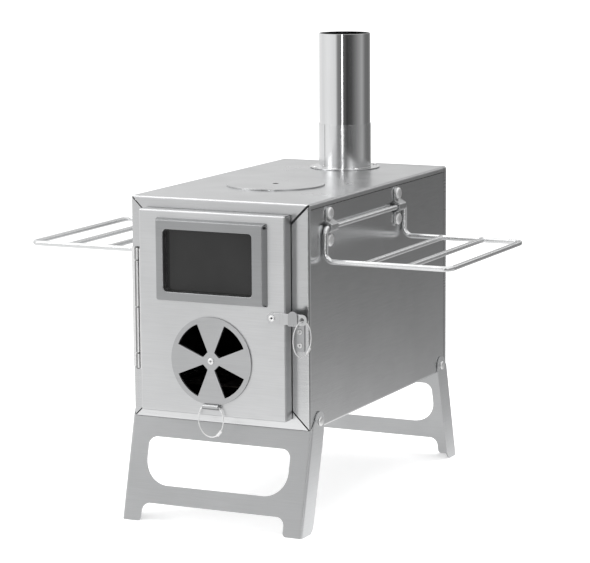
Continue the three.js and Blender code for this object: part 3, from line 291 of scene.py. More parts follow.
def lathe(profile, axis, centre, steps=96):
    """A closed profile of (radius, height), turned about an axis through a centre."""
    points, rings = [], []
    for radius, height in profile:
        ring = []
        for k in range(steps if radius > 0 else 1):
            angle = math.tau * k / steps
            u, v = radius * math.cos(angle), radius * math.sin(angle)
            point = {"x": (height, u, v), "y": (v, height, u), "z": (u, v, height)}[axis]
            ring.append(len(points))
            points.append(Vector(point) + Vector(centre))
        rings.append(ring)
    faces = []
    pairs = list(zip(rings, rings[1:]))
    if len(rings[0]) > 1:
        pairs.append((rings[-1], rings[0]))
    for a, b in pairs:
        for k in range(steps):
            corners = [a[k % len(a)], a[(k + 1) % len(a)], b[(k + 1) % len(b)], b[k % len(b)]]
            corners = list(dict.fromkeys(corners))
            if len(corners) > 2:
                faces.append(corners)
    return mesh_of(points, faces)


def placed(mesh, place, turn=0, axis="Y"):
    """A mesh turned by an angle in radians and moved to its place."""
    mesh.transform(Matrix.Translation(place) @ Matrix.Rotation(turn, 4, axis))
    return mesh


def carve(whole, tool, operation="DIFFERENCE"):
    """One solid cut by, kept inside or joined to another."""
    blank = bpy.data.objects.new("blank", whole)
    cutter = bpy.data.objects.new("cutter", tool)
    bpy.context.collection.objects.link(blank)
    bpy.context.collection.objects.link(cutter)
    step = blank.modifiers.new("step", "BOOLEAN")
    step.operation = operation
    step.solver = "EXACT"
    step.object = cutter
    made = bpy.data.meshes.new_from_object(blank.evaluated_get(bpy.context.evaluated_depsgraph_get()))
    bpy.data.objects.remove(blank)
    bpy.data.objects.remove(cutter)
    bpy.data.meshes.remove(whole)
    bpy.data.meshes.remove(tool)
    return made


def without(whole, *tools):
    for tool in tools:
        whole = carve(whole, tool)
    return whole


def united(whole, *others):
    for other in others:
        whole = carve(whole, other, "UNION")
    return whole


def piece(name, mesh, material, body, slot, *nodes, edge=0.0):
    """A finished piece in the shared frame: its material, its body, and the solids it stands for."""
    shape = bmesh.new()
    shape.from_mesh(mesh)
    bmesh.ops.remove_doubles(shape, verts=shape.verts, dist=WELD_DISTANCE)
    bmesh.ops.dissolve_limit(shape, angle_limit=FLAT, verts=shape.verts, edges=shape.edges)
    for face in shape.faces:
        face.smooth = True
    for seam in shape.edges:
        seam.smooth = len(seam.link_faces) == 2 and seam.calc_face_angle(0) < SHOULDER
    shape.to_mesh(mesh)
    shape.free()
    mesh.transform(Matrix.Translation(ORIGIN) @ Matrix.Scale(MM, 4))
    mesh.materials.clear()
    mesh.materials.append(material)
    made = bpy.data.objects.new(name, mesh)
    bpy.context.collection.objects.link(made)
    if edge:
        rounding = made.modifiers.new("edge", "BEVEL")
        rounding.width = edge * MM
        rounding.segments = 2
        rounding.limit_method = "ANGLE"
        rounding.angle_limit = SHOULDER
        rounding.use_clamp_overlap = True
    evening = made.modifiers.new("evening", "WEIGHTED_NORMAL")
    evening.keep_sharp = True
    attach(made, body)
    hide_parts(*nodes)
    return made


def steel(name, colour, roughness, grain=(30, 30, 1600), streak=0.05, cloud=0.05, ripple=0.0):
    """Stainless steel: fine rolling marks along the sheet, soft clouds from handling, and a slow ripple."""
    material, tree = new_material(name)
    where = new_node(tree, "TexCoord").outputs["Object"]
    along = new_node(tree, "Mapping", {"Vector": where, "Scale": grain}).outputs["Vector"]

    def noise(vector, scale, detail):
        texture = new_node(tree, "TexNoise", {"Vector": vector, "Scale": scale, "Detail": detail})
        return texture.outputs["Fac"]

    def spread(value, low, high):
        reach = new_node(tree, "MapRange", {"Value": value, "From Min": 0.25, "From Max": 0.75,
                                            "To Min": low, "To Max": high})
        return reach.outputs["Result"]

    def product(first, second):
        return new_node(tree, "Math", {0: first, 1: second}, operation="MULTIPLY").outputs["Value"]

    marks = noise(along, 1.0, 3)
    clouds = noise(where, 14, 3)
    tone = product(spread(marks, 1 - streak, 1 + streak), spread(clouds, 1 - cloud, 1 + cloud))
    tint = new_node(tree, "VectorMath", {0: colour[:3], "Scale": tone}, operation="SCALE")
    polish = product(spread(marks, 0.9 * roughness, 1.1 * roughness), spread(clouds, 1.12, 0.9))
    scratch = new_node(tree, "Bump", {"Strength": 0.12, "Distance": SCRATCH_DEPTH * MM, "Height": marks})
    if ripple:
        wave = new_node(tree, "Bump", {"Strength": 1, "Distance": ripple * MM, "Height": noise(where, 5, 1)})
        set_inputs(scratch, {"Normal": wave.outputs["Normal"]})
    set_inputs(tree.nodes["Principled BSDF"], {
        "Metallic": 1, "Base Color": tint.outputs["Vector"], "Roughness": polish,
        "Normal": scratch.outputs["Normal"],
    })
    return material


def paint_light_by_facing(material, axis, start, end, first, last):
    """Painted light and shade: the colour made darker or paler where a face looks along an axis."""
    tree = material.node_tree
    colour = tree.nodes["Principled BSDF"].inputs["Base Color"]
    normal = new_node(tree, "NewGeometry").outputs["Normal"]
    facing = new_node(tree, "SeparateXYZ", {"Vector": normal}).outputs[axis]
    gain = new_node(tree, "MapRange", {"Value": facing, "From Min": start, "From Max": end,
                                       "To Min": first, "To Max": last}).outputs["Result"]
    plain = colour.links[0].from_socket
    shaded = new_node(tree, "VectorMath", {0: plain, "Scale": gain}, operation="SCALE")
    tree.links.new(shaded.outputs["Vector"], colour)


half = span("right_side_panel")[1].x
depth = span("back_panel")[1].y
height = span("top_panel")[1].z
back_seam = span("back_panel")[0].y
lid_middle = middle_of("cooktop_lid")
flue_middle = middle_of("flue_pipe")
rivet_rows = [middle_of(f"bracket_rivet_right_{end}_{row}")
              for end in ("front", "rear") for row in ("upper", "lower")]
pivots = [middle_of(f"leg_rivet_{end}_right") for end in ("front", "rear")]
PAST = 20


def shell():
    """The whole box before it is parted: outside, inside and the doorway."""
    outside = round_box((-half, 0, 0), (half, depth, height), FOLD)
    inside = round_box((SHEET - half, SHEET, SHEET), (half - SHEET, depth - SHEET, height - SHEET),
                       FOLD - SHEET)
    doorway = box((-half + FRAME_W, -PAST, FRAME_W), (half - FRAME_W, SHEET + 2, height - FRAME_W))
    return without(outside, inside, doorway)


def mitre_cut(side, end, width):
    """The open seam across one corner of the front frame."""
    mesh = box((-width / 2, -PAST, -2 * FRAME_W), (width / 2, FOLD_ZONE, 2 * FRAME_W))
    corner = (side * half, 0, height if end > 0 else 0)
    return placed(mesh, corner, side * end * math.radians(45))


def sheet_zone(name):
    """The space that a panel takes: its strip of the front frame and its wall behind it."""
    inner = FRAME_W + 5
    middle = height / 2
    deep = half - inner
    low, high = inner, height - inner
    edge, roof = half + 1, height + 1
    frame_strip = {
        "top": [(-edge, roof), (-deep, high), (deep, high), (edge, roof)],
        "bottom": [(-edge, -1), (-deep, low), (deep, low), (edge, -1)],
        "right": [(edge, roof), (deep, high), (deep, middle), (deep, low), (edge, -1)],
        "left": [(-edge, roof), (-deep, high), (-deep, middle), (-deep, low), (-edge, -1)],
    }[name]
    top_side = height - LIP - SIDE_SEAM
    turned_in = half - FOLD
    end = back_seam - SIDE_SEAM
    start = FOLD_ZONE - 0.01
    wall = {
        "top": ((-edge, start, height - LIP), (edge, end, roof)),
        "bottom": ((SIDE_SEAM - turned_in, start, -1), (turned_in - SIDE_SEAM, end, SHEET + 1)),
        "right": ((turned_in, start, -1), (edge, end, top_side)),
        "left": ((-edge, start, -1), (-turned_in, end, top_side)),
    }[name]
    return united(prism(frame_strip, "y", -1, FOLD_ZONE), box(*wall))


def peg(axis, centre, diameter, steps=48):
    """A drill through a sheet: a long round bar about an axis."""
    profile = [(0, -PAST), (diameter / 2, -PAST), (diameter / 2, PAST), (0, PAST)]
    return lathe(profile, axis, centre, steps)


def panel(name):
    cuts = [mitre_cut(side, end, width) for (side, end), width in MITRE_SEAMS.items()]
    return without(carve(shell(), sheet_zone(name), "INTERSECT"), *cuts)


body_steel = steel("body_steel", BODY_GREY, 0.3, ripple=0.5)
floor_steel = steel("floor_steel", FLOOR_GREY, 0.3, ripple=0.5)
side_steel = steel("side_steel", SIDE_GREY, 0.2, grain=(30, 30, 1600), ripple=0.5)

smoke_hole = peg("z", (0, flue_middle.y, height), PIPE_HOLE)
cook_hole = peg("z", (0, lid_middle.y, height), COOK_HOLE, 96)
top = without(panel("top"), cook_hole, smoke_hole)
piece("top_sheet", top, body_steel, "firebox", "body_sheet", "top_panel")
for side, sign in (("left", -1), ("right", 1)):
    rivet_holes = [peg("x", (sign * half, place.y, place.z), WALL_RIVET_HOLE, 24)
                   for place in rivet_rows + pivots]
    wall = without(panel(side), *rivet_holes)
    piece(f"{side}_wall", wall, side_steel, "firebox", "side_sheet", f"{side}_side_panel")
piece("floor_sheet", panel("bottom"), floor_steel, "firebox", "body_sheet", "bottom_panel")
back = carve(shell(), box((-half - 1, back_seam, -1), (half + 1, depth + 1, height + 1)), "INTERSECT")
piece("back_sheet", back, body_steel, "firebox", "body_sheet", "back_panel")

# ---------------------------------------------------------------- flue collar and pipe
# A rolled collar of thin sheet, flared into a round foot and held by four small rivets, with the first
# length of mirror-polished flue pipe standing in it.
COLLAR_SHEET = 0.5
COLLAR_FLARE = 0.2
COLLAR_FOOT = 1.2
FOOT_EDGE = 0.4
FOOT_LIFT_IN = 2.5
LAP_WIDTH = 0.9
LAP_DEPTH = 0.35
LAP_AT = (-0.43, -0.90)
SLIP_FIT = 0.15
TRIM = 0.2
PIPE_SHEET = 1
PIPE_GREY = cool(0.74)
RIVET_GREY = (0.88, 0.88, 0.88, 1)
COLLAR_RIVET = (5, 1.4, 3, 5, 1)    # head and its height, shank, tail and its height
COLLAR_GRIP = 2.7


def arc(centre, radius, start, end, step=9):
    """Points on a round stretch, angles in degrees."""
    count = max(2, round(abs(end - start) / step))
    angles = [math.radians(start + (end - start) * k / count) for k in range(count + 1)]
    return [(centre[0] + radius * math.cos(a), centre[1] + radius * math.sin(a)) for a in angles]


pipe_low, pipe_high = span("flue_pipe")
collar_low, collar_high = span("flue_collar")
pipe_radius = (pipe_high.x - pipe_low.x) / 2
foot_radius = (collar_high.x - collar_low.x) / 2
bore = pipe_radius + SLIP_FIT
skin = bore + COLLAR_SHEET
foot_top = collar_low.z + COLLAR_FOOT
collar_profile = [
    (bore, collar_low.z), (bore, collar_high.z - TRIM), (bore + 0.15, collar_high.z), (skin, collar_high.z),
    *arc((skin + COLLAR_FLARE, foot_top + COLLAR_FLARE), COLLAR_FLARE, 180, 270),
    (foot_radius - 0.1, foot_top), (foot_radius, foot_top - 0.1), (foot_radius, foot_top - FOOT_EDGE),
    (foot_radius - FOOT_LIFT_IN, foot_top - FOOT_EDGE), (foot_radius - FOOT_LIFT_IN, collar_low.z),
]
lap = box((-LAP_WIDTH / 2, skin - LAP_DEPTH, foot_top + 1), (LAP_WIDTH / 2, skin + 2, collar_high.z + 2))
placed(lap, (0, flue_middle.y, 0), math.atan2(-LAP_AT[0], LAP_AT[1]), "Z")
collar_steel = steel("collar_steel", PIPE_GREY, 0.16, grain=(900, 900, 40), streak=0.03)
collar = without(lathe(collar_profile, "z", (0, flue_middle.y, 0), 144), lap)
piece("rolled_collar", collar, collar_steel, "firebox", "body_sheet", "flue_collar")

pipe_steel = steel("pipe_steel", PIPE_GREY, 0.07, grain=(900, 900, 15), streak=0.02, cloud=0.02)
pipe_bore = pipe_radius - PIPE_SHEET
pipe_profile = [
    (pipe_bore, pipe_low.z), (pipe_bore, pipe_high.z - TRIM), (pipe_bore + TRIM, pipe_high.z),
    (pipe_radius - TRIM, pipe_high.z), (pipe_radius, pipe_high.z - TRIM), (pipe_radius, pipe_low.z),
]
piece("polished_pipe_length", lathe(pipe_profile, "z", (0, flue_middle.y, 0), 144), pipe_steel,
      "flue", "polished_pipe", "flue_pipe")

rivet_steel = steel("rivet_steel", RIVET_GREY, 0.4, grain=(300, 300, 300), streak=0.03)


def round_rivet(axis, way, seat, grip, head, head_height, shank, tail, tail_height):
    """A solid rivet: a domed head on its seat, a shank through the sheets and an upset tail behind."""
    angles = [math.radians(a) for a in range(84, -1, -6)]
    dome = [(head / 2 * math.cos(a) ** 0.62, head_height * (0.2 + 0.8 * math.sin(a))) for a in angles]
    tail_end = -grip - tail_height
    profile = [(0, head_height), *dome, (head / 2 - 0.15, 0), (shank / 2, 0), (shank / 2, -grip),
               (tail / 2, -grip), (tail / 2 * 0.9, tail_end), (0, tail_end)]
    return lathe([(radius, way * level) for radius, level in profile], axis, seat, 48)


for k in range(1, 5):
    middle = middle_of(f"collar_rivet_{k}")
    rivet = round_rivet("z", 1, (middle.x, middle.y, foot_top + 0.05), COLLAR_GRIP, *COLLAR_RIVET)
    piece(f"collar_pop_rivet_{k}", rivet, rivet_steel, "firebox", "rivet_steel", f"collar_rivet_{k}")

# ---------------------------------------------------------------- cooking lid
# A pressed disc with a short spigot under it that drops into the round hole in the top, and a small hole
# in the middle for the lifting hook.
LID_EDGE = 0.2
SPIGOT_SHEET = 1.2
SPIGOT_RADIUS = 49.4
FINGER_HOLE = 7
FINGER_UNDERCUT = 2.4

lid_low, lid_high = span("cooktop_lid")
lid_radius = (lid_high.x - lid_low.x) / 2
lid_under = height + 0.1
finger = FINGER_HOLE / 2
lid_profile = [
    (finger + FINGER_UNDERCUT, lid_under), (finger, lid_high.z - 0.15), (finger, lid_high.z),
    *arc((lid_radius - LID_EDGE, lid_high.z - LID_EDGE), LID_EDGE, 90, 0, 30),
    (lid_radius, lid_under), (SPIGOT_RADIUS, lid_under), (SPIGOT_RADIUS, lid_low.z),
    (SPIGOT_RADIUS - SPIGOT_SHEET, lid_low.z), (SPIGOT_RADIUS - SPIGOT_SHEET, lid_under),
]
lid_steel = steel("lid_steel", BODY_GREY, 0.3, streak=0.04, cloud=0.05)
piece("lift_off_lid", lathe(lid_profile, "z", (0, lid_middle.y, 0), 144), lid_steel,
      "cooking_lid", "body_sheet", "cooktop_lid")

# ---------------------------------------------------------------- fire grate
# A slotted tray standing on its two folded sides inside the firebox, darkened by fire. Its own solid
# stays and gets a sooted finish.
SOOT = (0.05, 0.045, 0.04, 1)

soot = steel("sooted_steel", SOOT, 0.62, grain=(60, 60, 60), streak=0.5, cloud=0.4)
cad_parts["fire_grate"].data.materials[0] = soot

# ---------------------------------------------------------------- door
# A shallow pan of 1.2 mm sheet with four turned edges, open at its corners, with the window and the four
# sectors of the air vent cut through it.
DOOR_SHEET = 1.2
DOOR_FOLD = 2.2
CORNER_SLIT = 1.0
REAR_GAP = 1.2
VENT_TURNS = (45, 135, 225, 315)
VENT_INNER = 9.6
VENT_OUTER = 42.6
VENT_SPREAD = 22.5
GLASS_LAP = 7
WINDOW_ROUND = 4
PIVOT_HOLE = 4.6
SLIT_LENGTH = 12
DOOR_GREY = cool(0.63)

door_low, door_high = span("door_panel")
vent_middle = middle_of("vent_rivet")
latch_pivot = middle_of("latch_rivet")
glass_low, glass_high = span("window_glass")


def rounded(corners, step=9, closed=True):
    """An outline from corners (u, v, radius), with each radius drawn as an arc."""
    points = []
    last = len(corners) - 1
    for i, (u, v, *radius) in enumerate(corners):
        here = Vector((u, v))
        if not radius or not radius[0] or (not closed and i in (0, last)):
            points.append(here)
            continue
        back = (Vector(corners[i - 1][:2]) - here).normalized()
        on = (Vector(corners[(i + 1) % len(corners)][:2]) - here).normalized()
        half_angle = back.angle(on) / 2
        centre = here + (back + on).normalized() * radius[0] / math.sin(half_angle)
        spoke = here + back * radius[0] / math.tan(half_angle) - centre
        way = 1 if back.cross(on) < 0 else -1
        sweep = math.pi - 2 * half_angle
        count = max(2, round(math.degrees(sweep) / step))
        points += [centre + Matrix.Rotation(way * sweep * k / count, 2) @ spoke for k in range(count + 1)]
    return points


def rectangle(u0, u1, v0, v1, radius=0.0):
    return rounded([(u0, v0, radius), (u1, v0, radius), (u1, v1, radius), (u0, v1, radius)])


def vent_sector(turn, start, end):
    """One opening of the vent: a 45 degree sector with a straight inner edge."""
    inner = VENT_INNER / math.cos(math.radians(VENT_SPREAD))
    centre = (vent_middle.x, vent_middle.z)
    points = [*arc(centre, VENT_OUTER, turn - VENT_SPREAD, turn + VENT_SPREAD, 3),
              *arc(centre, inner, turn + VENT_SPREAD, turn - VENT_SPREAD, 45)[::2]]
    return prism(points, "y", start, end)


def corner_slit(x, z, way_x, way_z, length, width, start, end):
    """A slit on the diagonal through a folded corner."""
    mesh = box((-length / 2, start, -width / 2), (length / 2, end, width / 2))
    return placed(mesh, (x, 0, z), -math.atan2(way_z, way_x))


def corners_of(x0, x1, z0, z1):
    return [(x0, z0, -1, -1), (x1, z0, 1, -1), (x1, z1, 1, 1), (x0, z1, -1, 1)]


def inset(rect, across, up):
    return (rect[0] + across, rect[1] - across, rect[2] + up, rect[3] - up)


window = inset((glass_low.x, glass_high.x, glass_low.z, glass_high.z), GLASS_LAP, GLASS_LAP)
pan = round_box(door_low, (door_high.x, 30, door_high.z), DOOR_FOLD)
hollow = round_box(door_low + Vector((DOOR_SHEET,) * 3),
                   (door_high.x - DOOR_SHEET, 40, door_high.z - DOOR_SHEET), DOOR_FOLD - DOOR_SHEET)
rear = box((-half, door_high.y - REAR_GAP, 0), (half, 60, height))
slits = [corner_slit(*corner, SLIT_LENGTH, CORNER_SLIT, door_low.y + DOOR_FOLD + 0.2, PAST)
         for corner in corners_of(door_low.x, door_high.x, door_low.z, door_high.z)]
opening = prism(rectangle(*window, WINDOW_ROUND), "y", door_low.y - PAST, door_high.y)
sectors = [vent_sector(turn, door_low.y - PAST, door_high.y) for turn in VENT_TURNS]
rivet_holes = [peg("y", (place.x, door_low.y, place.z), PIVOT_HOLE, 24)
               for place in (vent_middle, latch_pivot)]
door_steel = steel("door_steel", DOOR_GREY, 0.36, ripple=0.4)
door = without(pan, hollow, rear, *slits, opening, *sectors, *rivet_holes)
piece("door_pan", door, door_steel, "door", "door_sheet", "door_panel")

# ---------------------------------------------------------------- window
# A frame of 1 mm sheet with a flat face and sloping sides, open at its folded corners, over a pane of dark
# heat-proof glass that two strips hold inside the door.
BEZEL_SHEET = 1.0
BEZEL_BEND = 1.2
FACE_IN = 3.0
FACE_IN_END = 1.6
BEZEL_SLIT_LENGTH, BEZEL_SLIT = 7.4, 1.1
BEZEL_HOLE = 3
BEZEL_HOLE_IN = (1.6, 4.6)
BEZEL_GREY = cool(0.36)
GLASS_TINT = (0.010, 0.010, 0.010, 1)


def frame_loft(rings):
    """Rounded rectangles (x0, x1, z0, z1, radius, y), skinned one to the next and closed into a frame."""
    points, loops = [], []
    for x0, x1, z0, z1, radius, y in rings:
        outline = rectangle(x0, x1, z0, z1, max(radius, 0.05))
        loops.append(range(len(points), len(points) + len(outline)))
        points += [(u, y, v) for u, v in outline]
    faces = []
    for a, b in zip(loops, [*loops[1:], loops[0]]):
        faces += [(a[k], a[(k + 1) % len(a)], b[(k + 1) % len(b)], b[k]) for k in range(len(a))]
    return mesh_of(points, faces)


bezel_low, bezel_high = span("window_frame")
foot = (bezel_low.x, bezel_high.x, bezel_low.z, bezel_high.z)
face = inset(foot, FACE_IN, FACE_IN_END)
rings = [(*foot, 1.4, bezel_high.y)]
for turn in range(0, 91, 30):
    sine, cosine = math.sin(math.radians(turn)), math.cos(math.radians(turn))
    rounding = 0.6 * BEZEL_BEND * (1 - cosine)
    slope = 0.14 * (1 - sine)
    rings.append((*inset(face, rounding - FACE_IN * slope, rounding - FACE_IN_END * slope),
                  1.6, bezel_low.y + BEZEL_BEND * (1 - sine)))
for turn in range(0, 91, 30):
    sine, cosine = math.sin(math.radians(turn)), math.cos(math.radians(turn))
    roll = BEZEL_SHEET * sine
    rings.append((*inset(window, roll - BEZEL_SHEET, roll - BEZEL_SHEET),
                  WINDOW_ROUND + BEZEL_SHEET - roll, bezel_low.y + BEZEL_SHEET * (1 - cosine)))
behind = (*inset(window, -BEZEL_SHEET, -BEZEL_SHEET), WINDOW_ROUND + BEZEL_SHEET)
rings += [
    (*window, WINDOW_ROUND, bezel_high.y),
    (*behind, bezel_high.y),
    (*behind, bezel_low.y + BEZEL_SHEET),
    (*inset(face, BEZEL_SHEET, BEZEL_SHEET), 0.6, bezel_low.y + BEZEL_SHEET),
    (*inset(foot, BEZEL_SHEET, BEZEL_SHEET), 0.4, bezel_high.y),
]
bezel_slits = [corner_slit(*corner, BEZEL_SLIT_LENGTH, BEZEL_SLIT, bezel_low.y + 1.4, bezel_high.y + 1)
               for corner in corners_of(*foot)]
corner_hole = peg("y", (bezel_high.x - BEZEL_HOLE_IN[0], bezel_low.y, bezel_high.z - BEZEL_HOLE_IN[1]),
                  BEZEL_HOLE, 24)
bezel_steel = steel("bezel_steel", BEZEL_GREY, 0.32, ripple=0.2)
# Painted light: faces of the surround that look to the right are painted paler, up to half as bright again.
paint_light_by_facing(bezel_steel, "X", 0.3, 0.9, 1, 1.5)
piece("window_surround", without(frame_loft(rings), *bezel_slits, corner_hole), bezel_steel,
      "door", "window_frame_sheet", "window_frame")

glass, tree = new_material("dark_glass")
where = new_node(tree, "TexCoord").outputs["Object"]
haze = new_node(tree, "TexNoise", {"Vector": where, "Scale": 18}).outputs["Fac"]
smoke = new_node(tree, "ValToRGB", {"Fac": haze})
smoke.color_ramp.elements[0].color = GLASS_TINT
smoke.color_ramp.elements[1].color = [2.2 * c for c in GLASS_TINT[:3]] + [1]
set_inputs(tree.nodes["Principled BSDF"], {"Base Color": smoke.outputs["Color"], "Roughness": 0.06,
                                           "IOR": 1.5, "Specular IOR Level": 0.36})
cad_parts["window_glass"].data.materials[0] = glass
for name in ("glass_clip_top", "glass_clip_bottom"):
    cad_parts[name].data.materials[0] = door_steel

# ---------------------------------------------------------------- air vent
# A steel disc with four sectors that turns on a tubular rivet in front of the same sectors in the door. A
# tab at its foot is rolled into a tube for the pull ring.
VENT_SHEET = 1.5
TAB_WIDTH = 19
TAB_TUBE = 5.6
TAB_SHEET = 1.1
VENT_GREY = cool(0.49)
DOOR_EYELET = (7.4, 1.3, 4, 1.9)    # head and its height, shank, bore

disc_low, disc_high = span("air_vent_disc")
vent_front, vent_back = disc_high.y - VENT_SHEET, disc_high.y
vent_radius = (disc_high.x - disc_low.x) / 2
tube_y = vent_back - TAB_TUBE / 2 - 0.3
tube_z = disc_low.z + TAB_TUBE / 2


def bent_strip(line, sheet):
    """The edge view of a strip: a centre line, thickened by half a sheet to either side."""
    line = [Vector(point) for point in line]
    left, right = [], []
    for i, here in enumerate(line):
        before = (here - line[i - 1]).normalized() if i else None
        after = (line[i + 1] - here).normalized() if i < len(line) - 1 else None
        before, after = before or after, after or before
        along = (before + after).normalized()
        across = Vector((-along.y, along.x)) * (sheet / 2 / max(0.3, along.dot(before)))
        left.append(here + across)
        right.append(here - across)
    return left + right[::-1]


def tubular_rivet(seat, grip, head, head_height, shank, hole):
    """A rolled-over tubular rivet along the line of sight through the door, open from end to end."""
    inner, outer = hole / 2, head / 2
    middle, rim, tail_rim = (inner + outer) / 2, (outer - inner) / 2, (0.85 * outer - inner) / 2
    crown = arc((middle, 0), rim, 0, 180, 15)
    tail = arc((middle * 0.94, 0), tail_rim, 180, 360, 20)
    profile = [(radius, -level * head_height / rim) for radius, level in crown]
    profile += [(radius, grip - level / tail_rim) for radius, level in tail]
    profile += [(shank / 2, grip), (shank / 2, 0)]
    return lathe(profile, "y", seat, 48)


disc = lathe([(0, vent_front), (vent_radius, vent_front), (vent_radius, vent_back), (0, vent_back)],
             "y", (vent_middle.x, 0, vent_middle.z), 144)
neck_top = vent_middle.z - vent_radius + 4
curl = [(vent_back - VENT_SHEET / 2, neck_top), (vent_back - VENT_SHEET / 2, tube_z),
        *arc((tube_y, tube_z), (TAB_TUBE - TAB_SHEET) / 2, 0, -270, 12)[1:]]
tab = prism(bent_strip(curl, TAB_SHEET), "x", vent_middle.x - TAB_WIDTH / 2, vent_middle.x + TAB_WIDTH / 2)
sectors = [vent_sector(turn, vent_front - PAST, vent_back + PAST) for turn in VENT_TURNS]
vent_hole = peg("y", (vent_middle.x, vent_front, vent_middle.z), PIVOT_HOLE, 24)
vent = without(united(disc, tab), *sectors, vent_hole)
vent_steel = steel("vent_steel", VENT_GREY, 0.34)
# Painted shade: faces that look down, such as the underside of the rolled tab, are painted darker, down to a
# quarter of the colour.
paint_light_by_facing(vent_steel, "Z", -0.8, -0.1, 0.25, 1)
piece("vent_wheel", vent, vent_steel, "air_vent", "door_sheet", "air_vent_disc", edge=0.15)
grip = disc_high.y - vent_front + DOOR_SHEET + 0.8
vent_pin = tubular_rivet((vent_middle.x, vent_front - 0.1, vent_middle.z), grip, *DOOR_EYELET)
piece("vent_eyelet", vent_pin, rivet_steel, "door", "rivet_steel", "vent_rivet")

# ---------------------------------------------------------------- pull rings
# Rings of springy wire rope with their ends crimped in a ferrule: one hangs from the vent's tube, the other
# from the latch arm.
ROPE = 1.4
STRANDS = 3
STRAND_OUT, STRAND_RADIUS = 0.22, 0.27    # shares of the rope's width
ROPE_TURNS = 15
FERRULE_TURN = 137
FERRULE_HALF = ((1.3, 4), (1.65, 3.6), (1.7, 2), (1.5, 1))    # radius, and distance from its middle
ROPE_GREY = (0.88, 0.88, 0.88, 1)
RING_WIDE, RING_TALL = 30, 38
LATCH_RING_TURN = 76


def sweep(path, radius, sides=24, closed=False):
    """A round bar along a path, with flat ends or joined into a loop."""
    path = [Vector(point) for point in path]
    count = len(path)
    points, rings = [], []
    normal = None
    for i, here in enumerate(path):
        ahead = path[(i + 1) % count] if closed or i < count - 1 else here
        behind = path[i - 1] if closed or i else here
        along = (ahead - behind).normalized()
        if normal is None:
            normal = along.orthogonal().normalized()
        normal = (normal - along * normal.dot(along)).normalized()
        other = along.cross(normal)
        rings.append(range(len(points), len(points) + sides))
        points += [here + radius * (normal * math.cos(a) + other * math.sin(a))
                   for a in (math.tau * k / sides for k in range(sides))]
    faces = []
    pairs = list(zip(rings, rings[1:]))
    if closed:
        first = points[rings[0][0]]
        shift = min(range(sides), key=lambda k: (points[rings[-1][k]] - first).length)
        pairs.append((rings[-1], [rings[0][(k - shift) % sides] for k in range(sides)]))
    else:
        faces += [tuple(rings[0]), tuple(rings[-1])]
    for a, b in pairs:
        faces += [(a[k], a[(k + 1) % sides], b[(k + 1) % sides], b[k]) for k in range(sides)]
    return mesh_of(points, faces)


def together(meshes):
    """Several loose solids kept side by side in one piece."""
    shape = bmesh.new()
    for mesh in meshes:
        shape.from_mesh(mesh)
        bpy.data.meshes.remove(mesh)
    mesh = bpy.data.meshes.new("part")
    shape.to_mesh(mesh)
    shape.free()
    return mesh


def rope_ring(chord):
    """An oval ring in the (x, z) plane. A chord is the straight stretch inside the vent's tube."""
    start = math.degrees(math.asin(chord / RING_WIDE))
    drop = RING_TALL / 2 * math.cos(math.radians(start))

    def on(angle):
        turn = math.radians(angle)
        return Vector((RING_WIDE / 2 * math.sin(turn), 0, RING_TALL / 2 * math.cos(turn) - drop))
    line = [on(FERRULE_TURN + (360 - start - FERRULE_TURN) * k / 60) for k in range(61)]
    if chord:
        line += [line[-1].lerp(on(start), k / 12) for k in range(1, 12)]
    line += [on(start + (FERRULE_TURN - start) * k / 40) for k in range(41)]
    strands = []
    for strand in range(STRANDS):
        lay = []
        for i, here in enumerate(line):
            along = (line[min(i + 1, len(line) - 1)] - line[max(i - 1, 0)]).normalized()
            outward = Vector((0, 1, 0)).cross(along)
            turn = math.tau * (ROPE_TURNS * i / len(line) + strand / STRANDS)
            aside = outward * math.cos(turn) + Vector((0, 1, 0)) * math.sin(turn)
            lay.append(here + ROPE * STRAND_OUT * aside)
        strands.append(sweep(lay, ROPE * STRAND_RADIUS, 8))
    end = FERRULE_HALF[0][1]
    crimp = [(radius, -along) for radius, along in FERRULE_HALF] + list(reversed(FERRULE_HALF))
    sleeve = lathe([(0, -end), *crimp, (0, end)], "x", (0, 0, 0), 24)
    turn = math.radians(FERRULE_TURN)
    lean = math.atan2(RING_TALL * math.sin(turn), RING_WIDE * math.cos(turn))
    return together([*strands, placed(sleeve, on(FERRULE_TURN), lean)])


rope_steel = steel("rope_steel", ROPE_GREY, 0.4, grain=(400, 400, 400), streak=0.05)
pull = placed(rope_ring(TAB_WIDTH + ROPE), (vent_middle.x, tube_y, tube_z))
piece("vent_pull_ring", pull, rope_steel, "vent_pull", "wire_steel", "vent_ring")
latch_low, latch_high = span("latch_arm")
latch_hole = Vector((latch_high.x - 6, (latch_low.y + latch_high.y) / 2, latch_pivot.z))
hung = Vector((latch_hole.x, latch_hole.y, span("latch_ring")[1].z - ROPE / 2))
pull = placed(rope_ring(0), hung, math.radians(LATCH_RING_TURN), "Z")
piece("latch_pull_ring", pull, rope_steel, "latch_pull", "wire_steel", "latch_ring")

# ---------------------------------------------------------------- latch
# An arm on a tubular rivet drops behind the tongue of a keeper, which is a strip folded twice and riveted
# to the front frame.
ARM_WIDTH = 12
ARM_HOLE = 5
KEEPER_SHEET = 1.2
KEEPER_BEND = 1.2
KEEPER_HOLE = 3.6
KEEPER_EYELET = (6, 1.3, 3, 1.6)    # head and its height, shank, bore
LATCH_GREY = cool(0.6)
KEEPER_GREY = cool(0.46)
EYELET_PAINTED_LIGHT_GREY = (0.95, 0.95, 0.95, 1)

